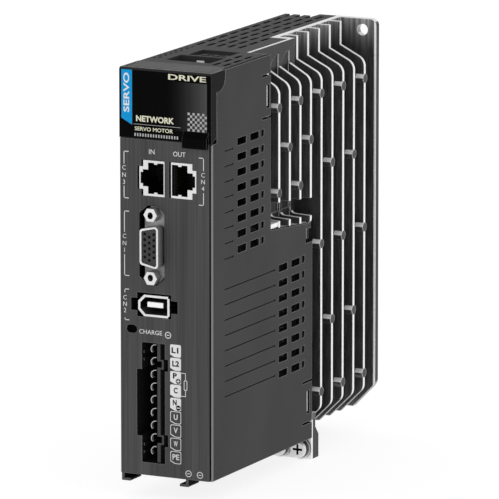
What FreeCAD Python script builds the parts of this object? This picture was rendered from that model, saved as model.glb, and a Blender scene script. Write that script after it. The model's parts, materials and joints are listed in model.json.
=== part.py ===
"""Compact servo drive, 40 x 170 x 150 mm body.

+X is to the right when facing the front panel, +Z is up, and the front faces -Y. The origin is the centre
of the two mounting holes on the rear mounting face, so the wall is the plane Y = 0. Lengths are millimetres.
"""
import FreeCAD, Part
import math
import os

from FreeCAD import Vector

# ---- Driving dimensions -------------------------------------------------------------------------------
WIDTH = 40.0
DEPTH = 150.0
TOP = 85.0                     # top of the body
BODY_BOTTOM = -76.0            # underside of the moulded body
LUG_BOTTOM = -85.0             # lowest edge of the mounting plate and earth lug
RIGHT = WIDTH / 2
LEFT = -WIDTH / 2
FRONT = -DEPTH
WALL = 1.6                     # moulded wall thickness

PANEL_THICK = 2.4
PANEL_RIGHT = 19.1             # right edge of the front panel, beside the side cover's lip
LIP_INNER = 19.55              # inner face of the side cover's front lip
FRAME_REAR = -134.0            # seam between the front frame and the housing
RECESS_BOTTOM = 57.2           # lower edge of the display recess

MOUNT_SPACING_X = 28.0
MOUNT_SPACING_Z = 161.0
MOUNT_HOLE_R = 2.35

HINGE_Y = -143.8               # cover hinge axis, which runs along X
HINGE_Z = 83.0
STRIP_FRONT = -146.5           # front edge of the fixed top strip, clear of the turning cover
HINGE_PIN_R = 1.2
HINGE_BORE_R = 1.27
EAR_R = 5.8
EAR_INNER = 18.8
EAR_POCKET_R = 6.2
COVER_THICK = 1.2
INLAY_DEPTH = 0.4
CHEEK_INNER = 16.9
CHEEK_OUTER = 18.3

KEY_RADIUS = 1.9
KEY_CLEARANCE = 0.15
KEY_Z = 62.6
KEY_PITCH = 6.3
BEZEL_FRONT = -144.6
BEZEL_THICK = 1.6
KEY_FACE = -145.4
KEY_TRAVEL = 0.35
KEY_LENGTH = 3.2               # from a key's face to the back of its stem
SWITCH_TIP_Y = KEY_FACE + KEY_LENGTH + KEY_TRAVEL + 0.1    # tips of the switches, clear of a pressed key
DISPLAY_BOARD_Y = SWITCH_TIP_Y + 2.0

RJ45_CENTRES = {-1: -4.85, 1: 7.25}    # X of each network jack, by the side its latch faces
RJ45_Z = 42.2
JACK_GAP = 0.9                 # extra width of the panel's openings, left of each network jack
IO_X = -5.1                    # 15-way D connector centre
IO_Z = 15.65
JACKSCREW_SPACING = 25.0
JACKSCREW_BORE_R = 1.15

ENCODER_X = -5.1
ENCODER_Z = -8.35

CHARGE_X = -14.8                # oblong hole of the charge lamp
CHARGE_Z = -18.15
CHARGE_HALF_LENGTH = 2.35
CHARGE_R = 1.65

TERMINAL_COUNT = 9
TERMINAL_PITCH = 5.08
TERMINAL_X = -7.2
TERMINAL_Z = -46.5

SINK_LEFT = 1.4                # face of the aluminium base behind the boards
SINK_BOTTOM = -75.4            # lower end of the base and fins
SINK_FLOOR = 4.0               # outer face of the base between the rear fins
SINK_STEP_Y = -60.0            # where the base steps out to make room for the front compartment
SINK_FRONT = -98.0
SINK_PAD = 9.4                 # inner face of the base in front of the step
FIN_THICK = 1.5
FIN_EDGE = RIGHT - 0.15         # outer edge of the fins, just inside the faces of their round pads
REAR_FIN_PITCH = 9.9
REAR_FIN_LAST = -12.9
REAR_FINS = 5
FRONT_FIN_PITCH = 9.45
FRONT_FIN_FIRST = -90.5
FRONT_FINS = 4
PLATE_THICK = 3.0
COVER_STEP_Y = -67.2           # where the side cover's top edge drops behind its sloping part
COVER_STEP_Z = 12.2
COVER_SLOPE = 0.09             # rise of that edge towards the front
NOTCH_TOP_Z = 24.8             # top of the notch in the foremost fin
NOTCH_SLOPE = 0.103            # fall of the notches' tops towards the rear
PE_SCREW_SPACING = 9.0
PE_SCREW_X = 15.2
PE_SCREW_Z = -80.6
LUG_FRONT = -60.9
LUG_THICK = 6.5

CONTROL_BOARD_X = 0.4          # left faces of the two upright boards
POWER_BOARD_X = -8.0
BOARD_THICK = 1.6
BOARD_RIGHT = POWER_BOARD_X + BOARD_THICK    # right face of the power board


# ---- Small helpers ------------------------------------------------------------------------------------
def block(x0, x1, y0, y1, z0, z1):
    """A box from its two corners."""
    return Part.makeBox(x1 - x0, y1 - y0, z1 - z0, Vector(x0, y0, z0))


def rod(radius, start, direction, length):
    """A cylinder from a start point along a direction."""
    return Part.makeCylinder(radius, length, Vector(*start), Vector(*direction))


def prism(points, along, start, length):
    """A closed outline pushed along X, Y or Z; its points are the other two coordinates, in XYZ order."""
    place = {
        "X": lambda a, b: Vector(start, a, b),
        "Y": lambda a, b: Vector(a, start, b),
        "Z": lambda a, b: Vector(a, b, start),
    }[along]
    push = {"X": Vector(length, 0, 0), "Y": Vector(0, length, 0), "Z": Vector(0, 0, length)}[along]
    corners = [place(a, b) for a, b in points]
    return Part.Face(Part.makePolygon(corners + corners[:1])).extrude(push)


def fused(shapes):
    """One solid from several touching ones."""
    shapes = list(shapes)
    return shapes[0].multiFuse(shapes[1:]).removeSplitter()


def straight_edges(shape, direction, chosen):
    """The straight edges that run along a direction and whose centres are chosen."""
    edges = []
    for edge in shape.Edges:
        if edge.Curve.TypeId != "Part::GeomLine":
            continue
        run = edge.tangentAt(edge.FirstParameter)
        if abs(run.dot(Vector(*direction))) > 0.999 and chosen(edge.CenterOfMass):
            edges.append(edge)
    return edges


def rounded(shape, radius, direction, chosen=lambda centre: True):
    """Round the chosen straight edges."""
    return shape.makeFillet(radius, straight_edges(shape, direction, chosen))


def chamfered(shape, size, direction, chosen=lambda centre: True):
    """Chamfer the chosen straight edges."""
    return shape.makeChamfer(size, straight_edges(shape, direction, chosen))


def slot_bar(half_length, radius, x, y, z, length):
    """A bar along Y whose section is a slot: a rectangle with round ends, long along X."""
    middle = block(x - half_length + radius, x + half_length - radius, y, y + length, z - radius, z + radius)
    ends = [rod(radius, (x + side * (half_length - radius), y, z), (0, 1, 0), length) for side in (-1, 1)]
    return fused([middle] + ends)


def hexagon(x, z, across_flats):
    """Corners of a hexagon in the XZ plane, with flats at the top and bottom."""
    radius = across_flats / math.sqrt(3)
    return [
        (x + radius * math.cos(math.radians(60 * k)), z + radius * math.sin(math.radians(60 * k)))
        for k in range(6)
    ]


def save(name, shape):
    """Write one node."""
    if not shape.isValid():
        print("not valid:", name)
    shape.exportStep(f"parts/{name}.step")


# ---- Front frame --------------------------------------------------------------------------------------
def rj45_outline(side, inset):
    """Stepped outline of a network jack; side is -1 when the latch faces left, and +1 when it faces right."""
    half_width, half_height = 4.75 - inset, 7.15 - inset
    reach = half_width + 1.7
    points = [
        (-half_width, -half_height), (half_width, -half_height), (half_width, -4.6 + inset),
        (reach, -4.6 + inset), (reach, 4.6 - inset), (half_width, 4.6 - inset),
        (half_width, half_height), (-half_width, half_height),
    ]
    return [(RJ45_CENTRES[side] + side * x, RJ45_Z + z) for x, z in points]


def encoder_outline(inset):
    """Outline of the encoder socket's shell, with its two left corners cut."""
    half_width, half_height, cut = 6.85 - inset, 4.3 - inset, 2.6 - 0.4 * inset
    points = [
        (-half_width, -half_height + cut), (-half_width + cut, -half_height), (half_width, -half_height),
        (half_width, half_height), (-half_width + cut, half_height), (-half_width, half_height - cut),
    ]
    return [(ENCODER_X + x, ENCODER_Z + z) for x, z in points]


def header_opening(y0, y1, inset):
    """Stepped opening of the terminal header, with its left keying step and two latch notches."""
    left, right = -10.5 + inset, -0.4 - inset
    return fused([
        block(left, right, y0, y1, -70.9 + inset, -23.0 - inset),
        block(left - 2.2, left, y0, y1, -60.4 + inset, -33.8 - inset),
        block(right, right + 1.4, y0, y1, -33.9 + inset, -29.1 - inset),
        block(right, right + 1.4, y0, y1, -64.0 + inset, -59.2 - inset),
    ])


def bracket_hook(web_x, foot_direction):
    """L-shaped hook under the front edge for a cable bracket."""
    thick, drop, reach, length = 1.0, 3.0, 3.2, 9.4
    low = BODY_BOTTOM - drop
    web = block(web_x - thick / 2, web_x + thick / 2, FRONT, FRONT + length, low, BODY_BOTTOM)
    foot_from, foot_to = sorted((web_x, web_x + foot_direction * reach))
    return web.fuse(block(foot_from, foot_to, FRONT, FRONT + length, low, low + thick))


def front_frame():
    """Front panel with side, top and bottom returns, and the recess under the display cover."""
    panel_back = FRONT + PANEL_THICK
    cheek_front = FRONT + COVER_THICK + 0.4
    cheek = [
        (cheek_front, RECESS_BOTTOM - WALL), (FRAME_REAR, RECESS_BOTTOM - WALL), (FRAME_REAR, TOP),
        (STRIP_FRONT, TOP), (STRIP_FRONT, HINGE_Z + 0.4), (cheek_front, HINGE_Z + 0.4),
    ]
    left_closure = block(LEFT, -CHEEK_INNER, FRONT + 4.9, FRAME_REAR, RECESS_BOTTOM - WALL, TOP)
    left_closure = left_closure.cut(rod(EAR_POCKET_R, (LEFT - 1, HINGE_Y, HINGE_Z), (1, 0, 0), 2.7))
    frame = fused([
        block(LEFT, PANEL_RIGHT, FRONT, panel_back, BODY_BOTTOM, RECESS_BOTTOM),
        block(LEFT, LEFT + WALL, panel_back, FRAME_REAR, BODY_BOTTOM, RECESS_BOTTOM),
        block(LEFT, 18.2, panel_back, FRAME_REAR, BODY_BOTTOM, BODY_BOTTOM + WALL),
        block(LEFT, 18.2, panel_back, BEZEL_FRONT + 6.0, RECESS_BOTTOM - WALL, RECESS_BOTTOM),
        prism(cheek, "X", -CHEEK_OUTER, CHEEK_OUTER - CHEEK_INNER),
        prism(cheek, "X", CHEEK_INNER, CHEEK_OUTER - CHEEK_INNER),
        block(-CHEEK_OUTER, CHEEK_OUTER, STRIP_FRONT, FRAME_REAR, TOP - WALL, TOP),
        left_closure,
        bracket_hook(-18.9, 1),
        bracket_hook(9.2, -1),
    ])
    frame = chamfered(frame, 0.5, (0, 0, 1), lambda c: abs(c.y - FRONT) < 0.01 and c.z > BODY_BOTTOM)
    io_half = [(-11.45, 12.5), (-7.6, 15.75), (-3.9, 15.75), (-0.45, 12.8)]
    io_cutout = [(x, IO_Z + z) for x, z in io_half] + [(x, IO_Z - z) for x, z in reversed(io_half)]
    cutters = [
        prism(io_cutout, "Y", FRONT - 1, PANEL_THICK + 2),
        block(-12.5, 2.4, FRONT - 1, panel_back + 1, ENCODER_Z - 4.6, ENCODER_Z + 5.0),
        block(-15.2, 5.25, FRONT - 1, panel_back + 1, ENCODER_Z - 2.3, ENCODER_Z + 2.7),
        slot_bar(CHARGE_HALF_LENGTH, CHARGE_R, CHARGE_X, FRONT - 1, CHARGE_Z, PANEL_THICK + 2),
        header_opening(FRONT - 1, panel_back + 1, 0.0),
        rod(HINGE_BORE_R, (-CHEEK_OUTER - 1, HINGE_Y, HINGE_Z), (1, 0, 0), 2 * CHEEK_OUTER + 2),
    ]
    for side in (-1, 1):
        for shift in (0.0, -JACK_GAP):
            opening = prism(rj45_outline(side, 0.0), "Y", FRONT - 1, PANEL_THICK + 2)
            opening.translate(Vector(shift, 0, 0))
            cutters.append(opening)
    for cutter in cutters:
        frame = frame.cut(cutter)
    return frame


# ---- Housing ------------------------------------------------------------------------------------------
GRILLE_FIRST_X = -16.6
GRILLE_ROW_PITCH = 4.6
GRILLE_SLOT = (1.9, 7.4)
GRILLE_SLOT_PITCH = 9.75


def grille_slots():
    """Slots of the top grille: four full rows, and a shorter fifth beside the front compartment."""
    width, length = GRILLE_SLOT
    slots = []
    for row in range(5):
        count = 9 if row < 4 else 3
        for k in range(count):
            x = GRILLE_FIRST_X + row * GRILLE_ROW_PITCH
            y = -90.5 + k * GRILLE_SLOT_PITCH
            slots.append(block(x - width / 2, x + width / 2, y, y + length, TOP - 3, TOP + 1))
    for x in (11.0, 15.4):
        for k in range(3):
            y = -130.6 + k * 9.1
            slots.append(block(x - width / 2, x + width / 2, y, y + length - 0.8, TOP - 3, TOP + 1))
    for k in range(7):
        y = -126.0 + k * 4.6
        slots.append(block(-18.2, -17.2, y, y + 2.6, TOP - 3, TOP + 1))
        slots.append(block(-16.4, -15.4, y + 1.4, y + 4.0, TOP - 3, TOP + 1))
    return slots


def top_plan():
    """Outline of the housing's top in the XY plane: it steps in where the aluminium begins."""
    return [
        (LEFT, FRAME_REAR), (18.2, FRAME_REAR), (18.2, SINK_FRONT - 0.6), (SINK_PAD - 0.1, SINK_FRONT - 0.6),
        (SINK_PAD - 0.1, SINK_STEP_Y - 1.8), (SINK_LEFT - 0.1, SINK_STEP_Y - 1.8), (SINK_LEFT - 0.1, -0.7),
        (-6.3, -0.7), (-6.3, -5.3), (LEFT, -5.3),
    ]


def bottom_plan():
    """Outline of the housing's bottom in the XY plane."""
    return [
        (LEFT, FRAME_REAR), (18.2, FRAME_REAR), (18.2, SINK_STEP_Y - 2.0), (SINK_LEFT - 0.1, SINK_STEP_Y - 2.0),
        (SINK_LEFT - 0.1, -PLATE_THICK - 0.2), (LEFT, -PLATE_THICK - 0.2),
    ]


def housing():
    """Moulded shell with the left wall, the slotted top and the vented bottom."""
    top = prism(top_plan(), "Z", TOP - WALL, WALL)
    bottom = prism(bottom_plan(), "Z", BODY_BOTTOM, WALL)
    left = block(LEFT, LEFT + WALL, FRAME_REAR, -5.3, BODY_BOTTOM, TOP)
    left_rear = block(LEFT, LEFT + WALL, -5.3, -PLATE_THICK - 0.2, BODY_BOTTOM, TOP - WALL)
    rear_lip = block(LEFT, -6.3, -6.9, -5.3, TOP - 6, TOP)
    pocket_walls = block(-12.8, 9.3, -128.8, -113.0, 74.4, TOP)
    shelf = block(-10.6, 8.6, -113.0, -98.6, TOP - 3.2, TOP)
    shell = fused([top, bottom, left, left_rear, rear_lip, pocket_walls, shelf])
    shell = shell.cut(block(-11.5, 8.0, -127.5, -114.3, 76.0, TOP + 1))
    shell = shell.cut(block(-9.3, 7.3, -112.6, -99.6, TOP - 1.5, TOP + 1))
    for x in (-5.6, -0.8, 4.0):
        shell = shell.fuse(block(x, x + 2.4, -108.4, -106.0, TOP - 1.6, TOP - 0.5))
    for slot in grille_slots():
        shell = shell.cut(slot)
    for row in range(5):
        for k in range(6):
            y = -118.0 + k * 9.2
            x = -16.0 + row * 6.4
            shell = shell.cut(block(x, x + 2.2, y, y + 7.0, BODY_BOTTOM - 1, BODY_BOTTOM + WALL + 1))
    for k in range(9):
        z = -60.0 + k * 6.06
        for y in (-118.0, -108.0, -98.0, -88.0):
            shell = shell.cut(block(LEFT - 1, LEFT + WALL + 1, y, y + 7.8, z, z + 2.7))
    shell = chamfered(shell, 0.4, (0, 1, 0), lambda c: abs(c.x - LEFT) < 0.01 and abs(c.z - TOP) < 0.01)
    return shell


# ---- Side cover ---------------------------------------------------------------------------------------
LOUVRE_ROWS = 8
LOUVRE_PITCH = 6.09
LOUVRE_HEIGHT = 2.9
UPPER_FIRST_Z = 54.9
LOWER_FIRST_Z = -1.8


def louvre_row(first_y, z):
    """Two long slots and a thin one on one line; the thin one has a rounded lower rear corner."""
    low, high = z - LOUVRE_HEIGHT / 2, z + LOUVRE_HEIGHT / 2
    x0, x1 = RIGHT - WALL - 1, RIGHT + 1
    thin = block(x0, x1, first_y + 20.8, first_y + 23.4, low, high)
    thin = rounded(thin, 1.4, (1, 0, 0), lambda c: c.z < z and c.y > first_y + 23)
    return [
        block(x0, x1, first_y, first_y + 7.9, low, high),
        block(x0, x1, first_y + 11.2, first_y + 19.0, low, high),
        thin,
    ]


def pointer_groove(end_y, z):
    """Shallow engraved line that runs from the front edge to a dot."""
    depth = 0.6
    line = block(RIGHT - depth, RIGHT + 1, -138.7, end_y, z - 0.22, z + 0.22)
    return [line, rod(0.55, (RIGHT - depth, end_y, z), (1, 0, 0), depth + 1)]


UPPER_SNAP = (-105.9, 60.9, 76.9)    # front edge, low and high ends of each snap tongue
LOWER_SNAP = (-69.8, -68.6, -52.6)


def snap_tongue(y, z0, z1, far_y):
    """Slots that free a snap tongue: one above, one below, and a window for its catch."""
    x0, x1 = RIGHT - WALL - 1, RIGHT + 1
    slit, margin = 0.9, 3.3
    return [
        block(x0, x1, y, far_y, z1, z1 + slit),
        block(x0, x1, y, far_y, z0 - slit, z0),
        block(x0, x1, y + 3.9, y + 6.5, z0 + margin, z1 - margin),
    ]


def side_cover():
    """Right-hand cover with its front lip, louvres, pointer grooves and snap tongues."""
    outline = [
        (FRONT + PANEL_THICK, BODY_BOTTOM), (-61.2, BODY_BOTTOM), (-61.2, 4.2), (COVER_STEP_Y, 4.2),
        (COVER_STEP_Y, COVER_STEP_Z), (SINK_FRONT - 0.4, cover_edge_z(SINK_FRONT - 0.4)),
        (SINK_FRONT - 0.4, TOP), (FRONT + PANEL_THICK, TOP),
    ]
    cover = prism(outline, "X", RIGHT - WALL, WALL)
    lip_front = FRONT + 0.5
    cover = cover.fuse(block(LIP_INNER, RIGHT, lip_front, FRONT + PANEL_THICK, BODY_BOTTOM, TOP)).removeSplitter()
    cover = chamfered(cover, 0.3, (0, 0, 1), lambda c: c.y < lip_front + 0.01 and c.x > RIGHT - 0.01)
    cutters = [
        block(RIGHT - WALL - 1, RIGHT + 1, FRONT - 1, FRONT + 4.9, RECESS_BOTTOM, TOP + 1),
        prism([(FRONT - 1, 56.0), (FRONT + 4.9, 59.3), (FRONT + 4.9, 62.0), (FRONT - 1, 62.0)], "X", 18.0, 3.0),
        rod(EAR_POCKET_R, (RIGHT - WALL - 1, HINGE_Y, HINGE_Z), (1, 0, 0), WALL + 2),
    ]
    for row in range(LOUVRE_ROWS):
        upper_z = UPPER_FIRST_Z - row * LOUVRE_PITCH
        lower_z = LOWER_FIRST_Z - row * LOUVRE_PITCH
        cutters += louvre_row(-127.6, upper_z) + pointer_groove(-131.6, upper_z - 1.9)
        cutters += louvre_row(-91.2, lower_z) + pointer_groove(-94.8, lower_z + 0.2)
    cutters += snap_tongue(*UPPER_SNAP, SINK_FRONT)
    cutters += snap_tongue(*LOWER_SNAP, SINK_STEP_Y)
    for cutter in cutters:
        cover = cover.cut(cutter)
    return cover


# ---- Heat sink ----------------------------------------------------------------------------------------
def fin_outline(root_x, top_x):
    """Outline of a fin in the XZ plane: bevelled and rounded at both outer corners."""
    top_knee = 75.6
    return Part.Face(Part.makePolygon([
        Vector(root_x, 0, SINK_BOTTOM), Vector(9.6, 0, SINK_BOTTOM), Vector(FIN_EDGE, 0, -65.2),
        Vector(FIN_EDGE, 0, 70.2), Vector(top_x, 0, top_knee), Vector(top_x, 0, TOP),
        Vector(root_x, 0, TOP), Vector(root_x, 0, SINK_BOTTOM),
    ]))


def fin(y, root_x, top_x=9.0, top_z=TOP):
    """One rear fin centred on y."""
    solid = fin_outline(root_x, top_x).extrude(Vector(0, FIN_THICK, 0))
    solid.translate(Vector(0, y - FIN_THICK / 2, 0))
    solid = rounded(solid, 4.5, (0, 1, 0), lambda c: c.x > FIN_EDGE - 0.01)
    return solid.cut(block(0, RIGHT + 1, y - 5, y + 5, top_z, TOP + 1)) if top_z < TOP else solid


def cover_edge_z(y):
    """Height of the side cover's sloping top edge at y."""
    return COVER_STEP_Z + COVER_SLOPE * (COVER_STEP_Y - y)


def front_fin(y):
    """One front fin: it starts at the bevel, and is notched above the foot that sits on the side cover."""
    solid = fin(y, SINK_PAD + 0.8, SINK_PAD + 1.2, 75.6)
    y0, y1 = y - FIN_THICK / 2 - 1, y + FIN_THICK / 2 + 1
    foot_top = cover_edge_z(y) + 2.9
    foot_bottom = cover_edge_z(y) + 0.4 if y < COVER_STEP_Y else 11.2
    notch_top = NOTCH_TOP_Z - NOTCH_SLOPE * (y - FRONT_FIN_FIRST)
    notch_root = SINK_PAD + 1.6
    notch = prism([(notch_root, foot_top + 0.5), (RIGHT + 1, foot_top), (RIGHT + 1, notch_top),
                   (notch_root, notch_top)], "Y", y0, y1 - y0)
    notch = rounded(notch, 2.2, (0, 1, 0), lambda c: c.x < notch_root + 0.01 and c.z < foot_top + 1)
    solid = solid.cut(notch).cut(block(0, RIGHT + 1, y0, y1, BODY_BOTTOM - 1, foot_bottom))
    if y < COVER_STEP_Y:
        return solid
    return rounded(solid, 2.2, (0, 1, 0), lambda c: c.x > FIN_EDGE - 0.01 and c.z < foot_bottom + 0.01)


def ejector_pads():
    """Round pads that back the fins' outer edges in staggered rows."""
    fins = fin_positions()
    rows = [
        (62.5, (0, 2, 4, 6, 8)), (45.4, (1, 3)), (33.1, (5, 7)), (28.4, (0, 2)),
        (1.6, (4, 6, 8)), (-30.8, (5, 7)), (-58.7, (4, 6, 8)),
    ]
    return [rod(1.9, (16.4, fins[k], z), (1, 0, 0), 3.6) for z, members in rows for k in members]


def fin_positions():
    """Centres of the fins along Y, front to back."""
    front = [FRONT_FIN_FIRST + k * FRONT_FIN_PITCH for k in range(FRONT_FINS)]
    rear = [REAR_FIN_LAST - k * REAR_FIN_PITCH for k in reversed(range(REAR_FINS))]
    return front + rear


def rear_plate():
    """Mounting plate with its two diagonal holes; its lower left runs down to make the lower hole's ear."""
    y0 = -PLATE_THICK
    plate = fused([
        block(LEFT, SINK_LEFT, y0, 0, BODY_BOTTOM, TOP - WALL - 0.2),
        block(SINK_LEFT, RIGHT, y0, 0, SINK_BOTTOM, TOP),
        block(LEFT, -8.0, y0, 0, LUG_BOTTOM, BODY_BOTTOM),
    ])
    plate = plate.cut(prism([(9.6, BODY_BOTTOM), (RIGHT + 1, BODY_BOTTOM), (RIGHT + 1, -64.2)], "Y", y0 - 1, 5))
    plate = rounded(plate, 2.6, (0, 1, 0), lambda c: c.x > RIGHT - 0.01 and c.z > TOP - 0.01)
    plate = rounded(plate, 4.5, (0, 1, 0), lambda c: c.x > RIGHT - 0.01 and c.z < 0)
    plate = rounded(plate, 2.5, (0, 1, 0), lambda c: c.z < LUG_BOTTOM + 0.01)
    for side in (-1, 1):
        centre = (side * MOUNT_SPACING_X / 2, y0 - 1, side * MOUNT_SPACING_Z / 2)
        plate = plate.cut(rod(MOUNT_HOLE_R, centre, (0, 1, 0), PLATE_THICK + 2))
    return plate


def pe_places():
    """The two earth screws' X positions."""
    return [PE_SCREW_X - k * PE_SCREW_SPACING for k in range(2)]


def earth_lug():
    """Block under the base that takes the two earth screws."""
    y1 = LUG_FRONT + LUG_THICK
    profile = [
        (LUG_FRONT, LUG_BOTTOM), (y1, LUG_BOTTOM), (y1, -75.6), (LUG_FRONT + 2.4, -70.8), (LUG_FRONT, -69.0),
    ]
    lug = prism(profile, "X", 1.5, RIGHT - 0.4 - 1.5)
    for x in pe_places():
        lug = lug.cut(rod(2.05, (x, LUG_FRONT - 1, PE_SCREW_Z), (0, 1, 0), LUG_THICK + 2))
    return lug


def snap_catch(snap, root_y, foot=0.0):
    """Nose that stands in a snap tongue's window, on an arm from the casting at root_y, with an optional foot."""
    y, z0, z1 = snap
    low, high = z0 + 3.9, z1 - 3.9
    nose = block(17.0, 19.3, y + 4.5, y + 5.9, low, high)
    return nose.fuse(block(16.0, 17.9, y + 4.5, root_y, low - foot, high))


def heat_sink():
    """Cast base, front box, fins, mounting plate and earth lug in one piece."""
    step_back = SINK_STEP_Y + 1.6
    base = fused([
        block(SINK_LEFT, SINK_FLOOR, step_back - 3.2, -PLATE_THICK, SINK_BOTTOM, TOP),
        block(SINK_LEFT, SINK_PAD + 1.2, step_back - 3.2, step_back, 4.0, TOP),
        block(SINK_PAD, SINK_PAD + 1.2, SINK_FRONT, step_back, 4.0, TOP),
        block(SINK_PAD, 18.1, SINK_FRONT, SINK_FRONT + 1.6, 15.6, TOP - 0.4),
        block(SINK_PAD, RIGHT - WALL - 0.4, SINK_FRONT, step_back, 9.0, 12.0),
        block(SINK_PAD, 16.9, step_back - 1.7, step_back, 4.6, 14.0),
        block(SINK_PAD, RIGHT - 0.4, SINK_FRONT, FRONT_FIN_FIRST + 1.0, 15.2, 17.0),
        block(4.0, RIGHT - 0.4, LUG_FRONT + 0.6, LUG_FRONT + 3.6, -72.0, -66.0),
        rear_plate(),
        earth_lug(),
        snap_catch(UPPER_SNAP, SINK_FRONT + 0.5),
        snap_catch(LOWER_SNAP, LUG_FRONT + 1.2, foot=1.9),
    ])
    fins = fin_positions()
    for k, y in enumerate(fins):
        base = base.fuse(front_fin(y) if k < FRONT_FINS else fin(y, SINK_LEFT))
    for k in range(FRONT_FINS - 1):
        y0, y1 = fins[k] + FIN_THICK / 2, fins[k + 1] - FIN_THICK / 2
        base = base.cut(scallop(y0, y1))
    for pad in ejector_pads():
        base = base.fuse(pad)
    for x, z in module_screw_places():
        base = base.cut(rod(1.3, (SINK_LEFT - 1, x, z), (1, 0, 0), 3.2))
    return base.removeSplitter()


def scallop(y0, y1):
    """Shallow hollow of the base between two front fins, closed at the top by an arc."""
    x = SINK_PAD + 0.7
    low = 17.6
    start, end = Vector(x, y0, 75.0), Vector(x, y1, 80.6)
    middle = Vector(x, y0 + 0.3 * (y1 - y0), 78.9)
    edges = [
        Part.LineSegment(Vector(x, y0, low), start).toShape(),
        Part.Arc(start, middle, end).toShape(),
        Part.LineSegment(end, Vector(x, y1, low)).toShape(),
        Part.LineSegment(Vector(x, y1, low), Vector(x, y0, low)).toShape(),
    ]
    return Part.Face(Part.Wire(edges)).extrude(Vector(1.0, 0, 0))


# ---- Display cover and keypad -------------------------------------------------------------------------
def display_cover():
    """Hinged cover: front plate, top return, two side wraps with ears and pins, and a finger grip."""
    t = COVER_THICK
    profile = [
        (FRONT, 57.4), (FRONT, TOP - 0.7), (FRONT + 0.7, TOP), (FRONT + 2.6, TOP), (FRONT + 2.6, TOP - t),
        (FRONT + t + 0.5, TOP - t), (FRONT + t, TOP - t - 0.5), (FRONT + t, 57.4),
    ]
    cover = prism(profile, "X", LEFT, WIDTH)
    wrap = [(FRONT + t, 57.9), (FRONT + 4.5, 59.7), (FRONT + 4.5, TOP), (FRONT + t, TOP)]
    for x in (LEFT, EAR_INNER):
        ear = rod(EAR_R, (x, HINGE_Y, HINGE_Z), (1, 0, 0), RIGHT - EAR_INNER)
        ear = ear.common(block(x, x + RIGHT - EAR_INNER, FRONT + t, FRONT + 20, 70, TOP))
        cover = cover.fuse(ear).fuse(prism(wrap, "X", x, RIGHT - EAR_INNER))
    for x in (-EAR_INNER, CHEEK_INNER + 0.2):
        cover = cover.fuse(rod(HINGE_PIN_R, (x, HINGE_Y, HINGE_Z), (1, 0, 0), EAR_INNER - CHEEK_INNER - 0.2))
    grip = prism([(FRONT, 62.0), (FRONT - 1.8, 59.4), (FRONT - 1.8, 55.4), (FRONT - 0.3, 55.4), (FRONT, 57.4)],
                 "X", 8.1, 10.7)
    cover = cover.fuse(rounded(grip, 0.5, (1, 0, 0), lambda c: c.y < FRONT - 1.7)).removeSplitter()
    return cover.cut(prism(inlay_outline(0.0), "Y", FRONT - 1, 1 + INLAY_DEPTH))


def inlay_outline(inset):
    """Outline of the coloured strip in the cover's left side; its lower end is cut at an angle."""
    left, right = LEFT + 0.9 + inset, -14.4 - inset
    return [(left, 65.0 + inset), (right, 62.6 + inset), (right, 84.2 - inset), (left, 84.2 - inset)]


def cover_inlay():
    """Coloured strip, flush in its recess in the display cover."""
    return prism(inlay_outline(0.03), "Y", FRONT, INLAY_DEPTH)


def key_places():
    """The five keys' X positions, by name."""
    names = ("key_mode", "key_up", "key_down", "key_shift", "key_set")
    return {name: (k - 2) * KEY_PITCH for k, name in enumerate(names)}


def keypad_bezel():
    """Plate behind the display cover, with the display window, the key holes and a service port opening."""
    bezel = block(-CHEEK_INNER + 0.1, CHEEK_INNER - 0.1, BEZEL_FRONT, BEZEL_FRONT + BEZEL_THICK,
                  RECESS_BOTTOM + 0.1, 81.4)
    bezel = bezel.cut(block(-13.6, 13.6, BEZEL_FRONT - 1, BEZEL_FRONT + 3, 69.6, 79.4))
    for x in key_places().values():
        bezel = bezel.cut(rod(KEY_RADIUS + KEY_CLEARANCE, (x, BEZEL_FRONT - 1, KEY_Z), (0, 1, 0), 4))
    return bezel


def key(x):
    """One round key with a flange behind the bezel and a domed face."""
    cap = rod(KEY_RADIUS, (x, KEY_FACE, KEY_Z), (0, 1, 0), KEY_LENGTH)
    cap = cap.makeFillet(0.5, [edge for edge in cap.Edges if abs(edge.CenterOfMass.y - KEY_FACE) < 0.01])
    flange_y = BEZEL_FRONT + BEZEL_THICK + 0.1
    return cap.fuse(rod(KEY_RADIUS + 0.5, (x, flange_y, KEY_Z), (0, 1, 0), 0.7))


def tact_switches():
    """Five small switches behind the keys, each with its plunger clear of the pressed key."""
    half = 2.2
    switches = []
    for x in key_places().values():
        body = block(x - half, x + half, SWITCH_TIP_Y + 0.5, DISPLAY_BOARD_Y, KEY_Z - half, KEY_Z + half)
        switches.append(body.fuse(rod(1.0, (x, SWITCH_TIP_Y, KEY_Z), (0, 1, 0), 0.6)))
    return Part.makeCompound(switches)


def display_board():
    """Board behind the bezel."""
    thick = 1.2
    return block(-16.4, 16.4, DISPLAY_BOARD_Y, DISPLAY_BOARD_Y + thick, RECESS_BOTTOM + 0.4, 81.0)


def display_module():
    """Case of the five-digit display, which fills the bezel's window."""
    case = block(-13.4, 13.4, BEZEL_FRONT + 0.2, DISPLAY_BOARD_Y, 69.8, 79.2)
    return case.cut(block(-12.9, 12.9, BEZEL_FRONT - 1, BEZEL_FRONT + 0.5, 70.3, 78.7))


def digit_segments(x):
    """The seven segments of one digit, as thin bars in front of the display's case."""
    half, top, mid, low = 1.35, 77.3, 74.5, 71.7
    bar = 0.5
    spans = [(x - half, x + half, z, z + bar) for z in (low, mid - bar / 2, top - bar)]
    for x0 in (x - half - bar - 0.1, x + half + 0.1):
        spans.append((x0, x0 + bar, mid + 0.4, top - 0.2))
        spans.append((x0, x0 + bar, low + 0.2, mid - 0.4))
    y = BEZEL_FRONT + 0.3
    return [block(x0, x1, y, y + 0.2, z0, z1) for x0, x1, z0, z1 in spans]


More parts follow.
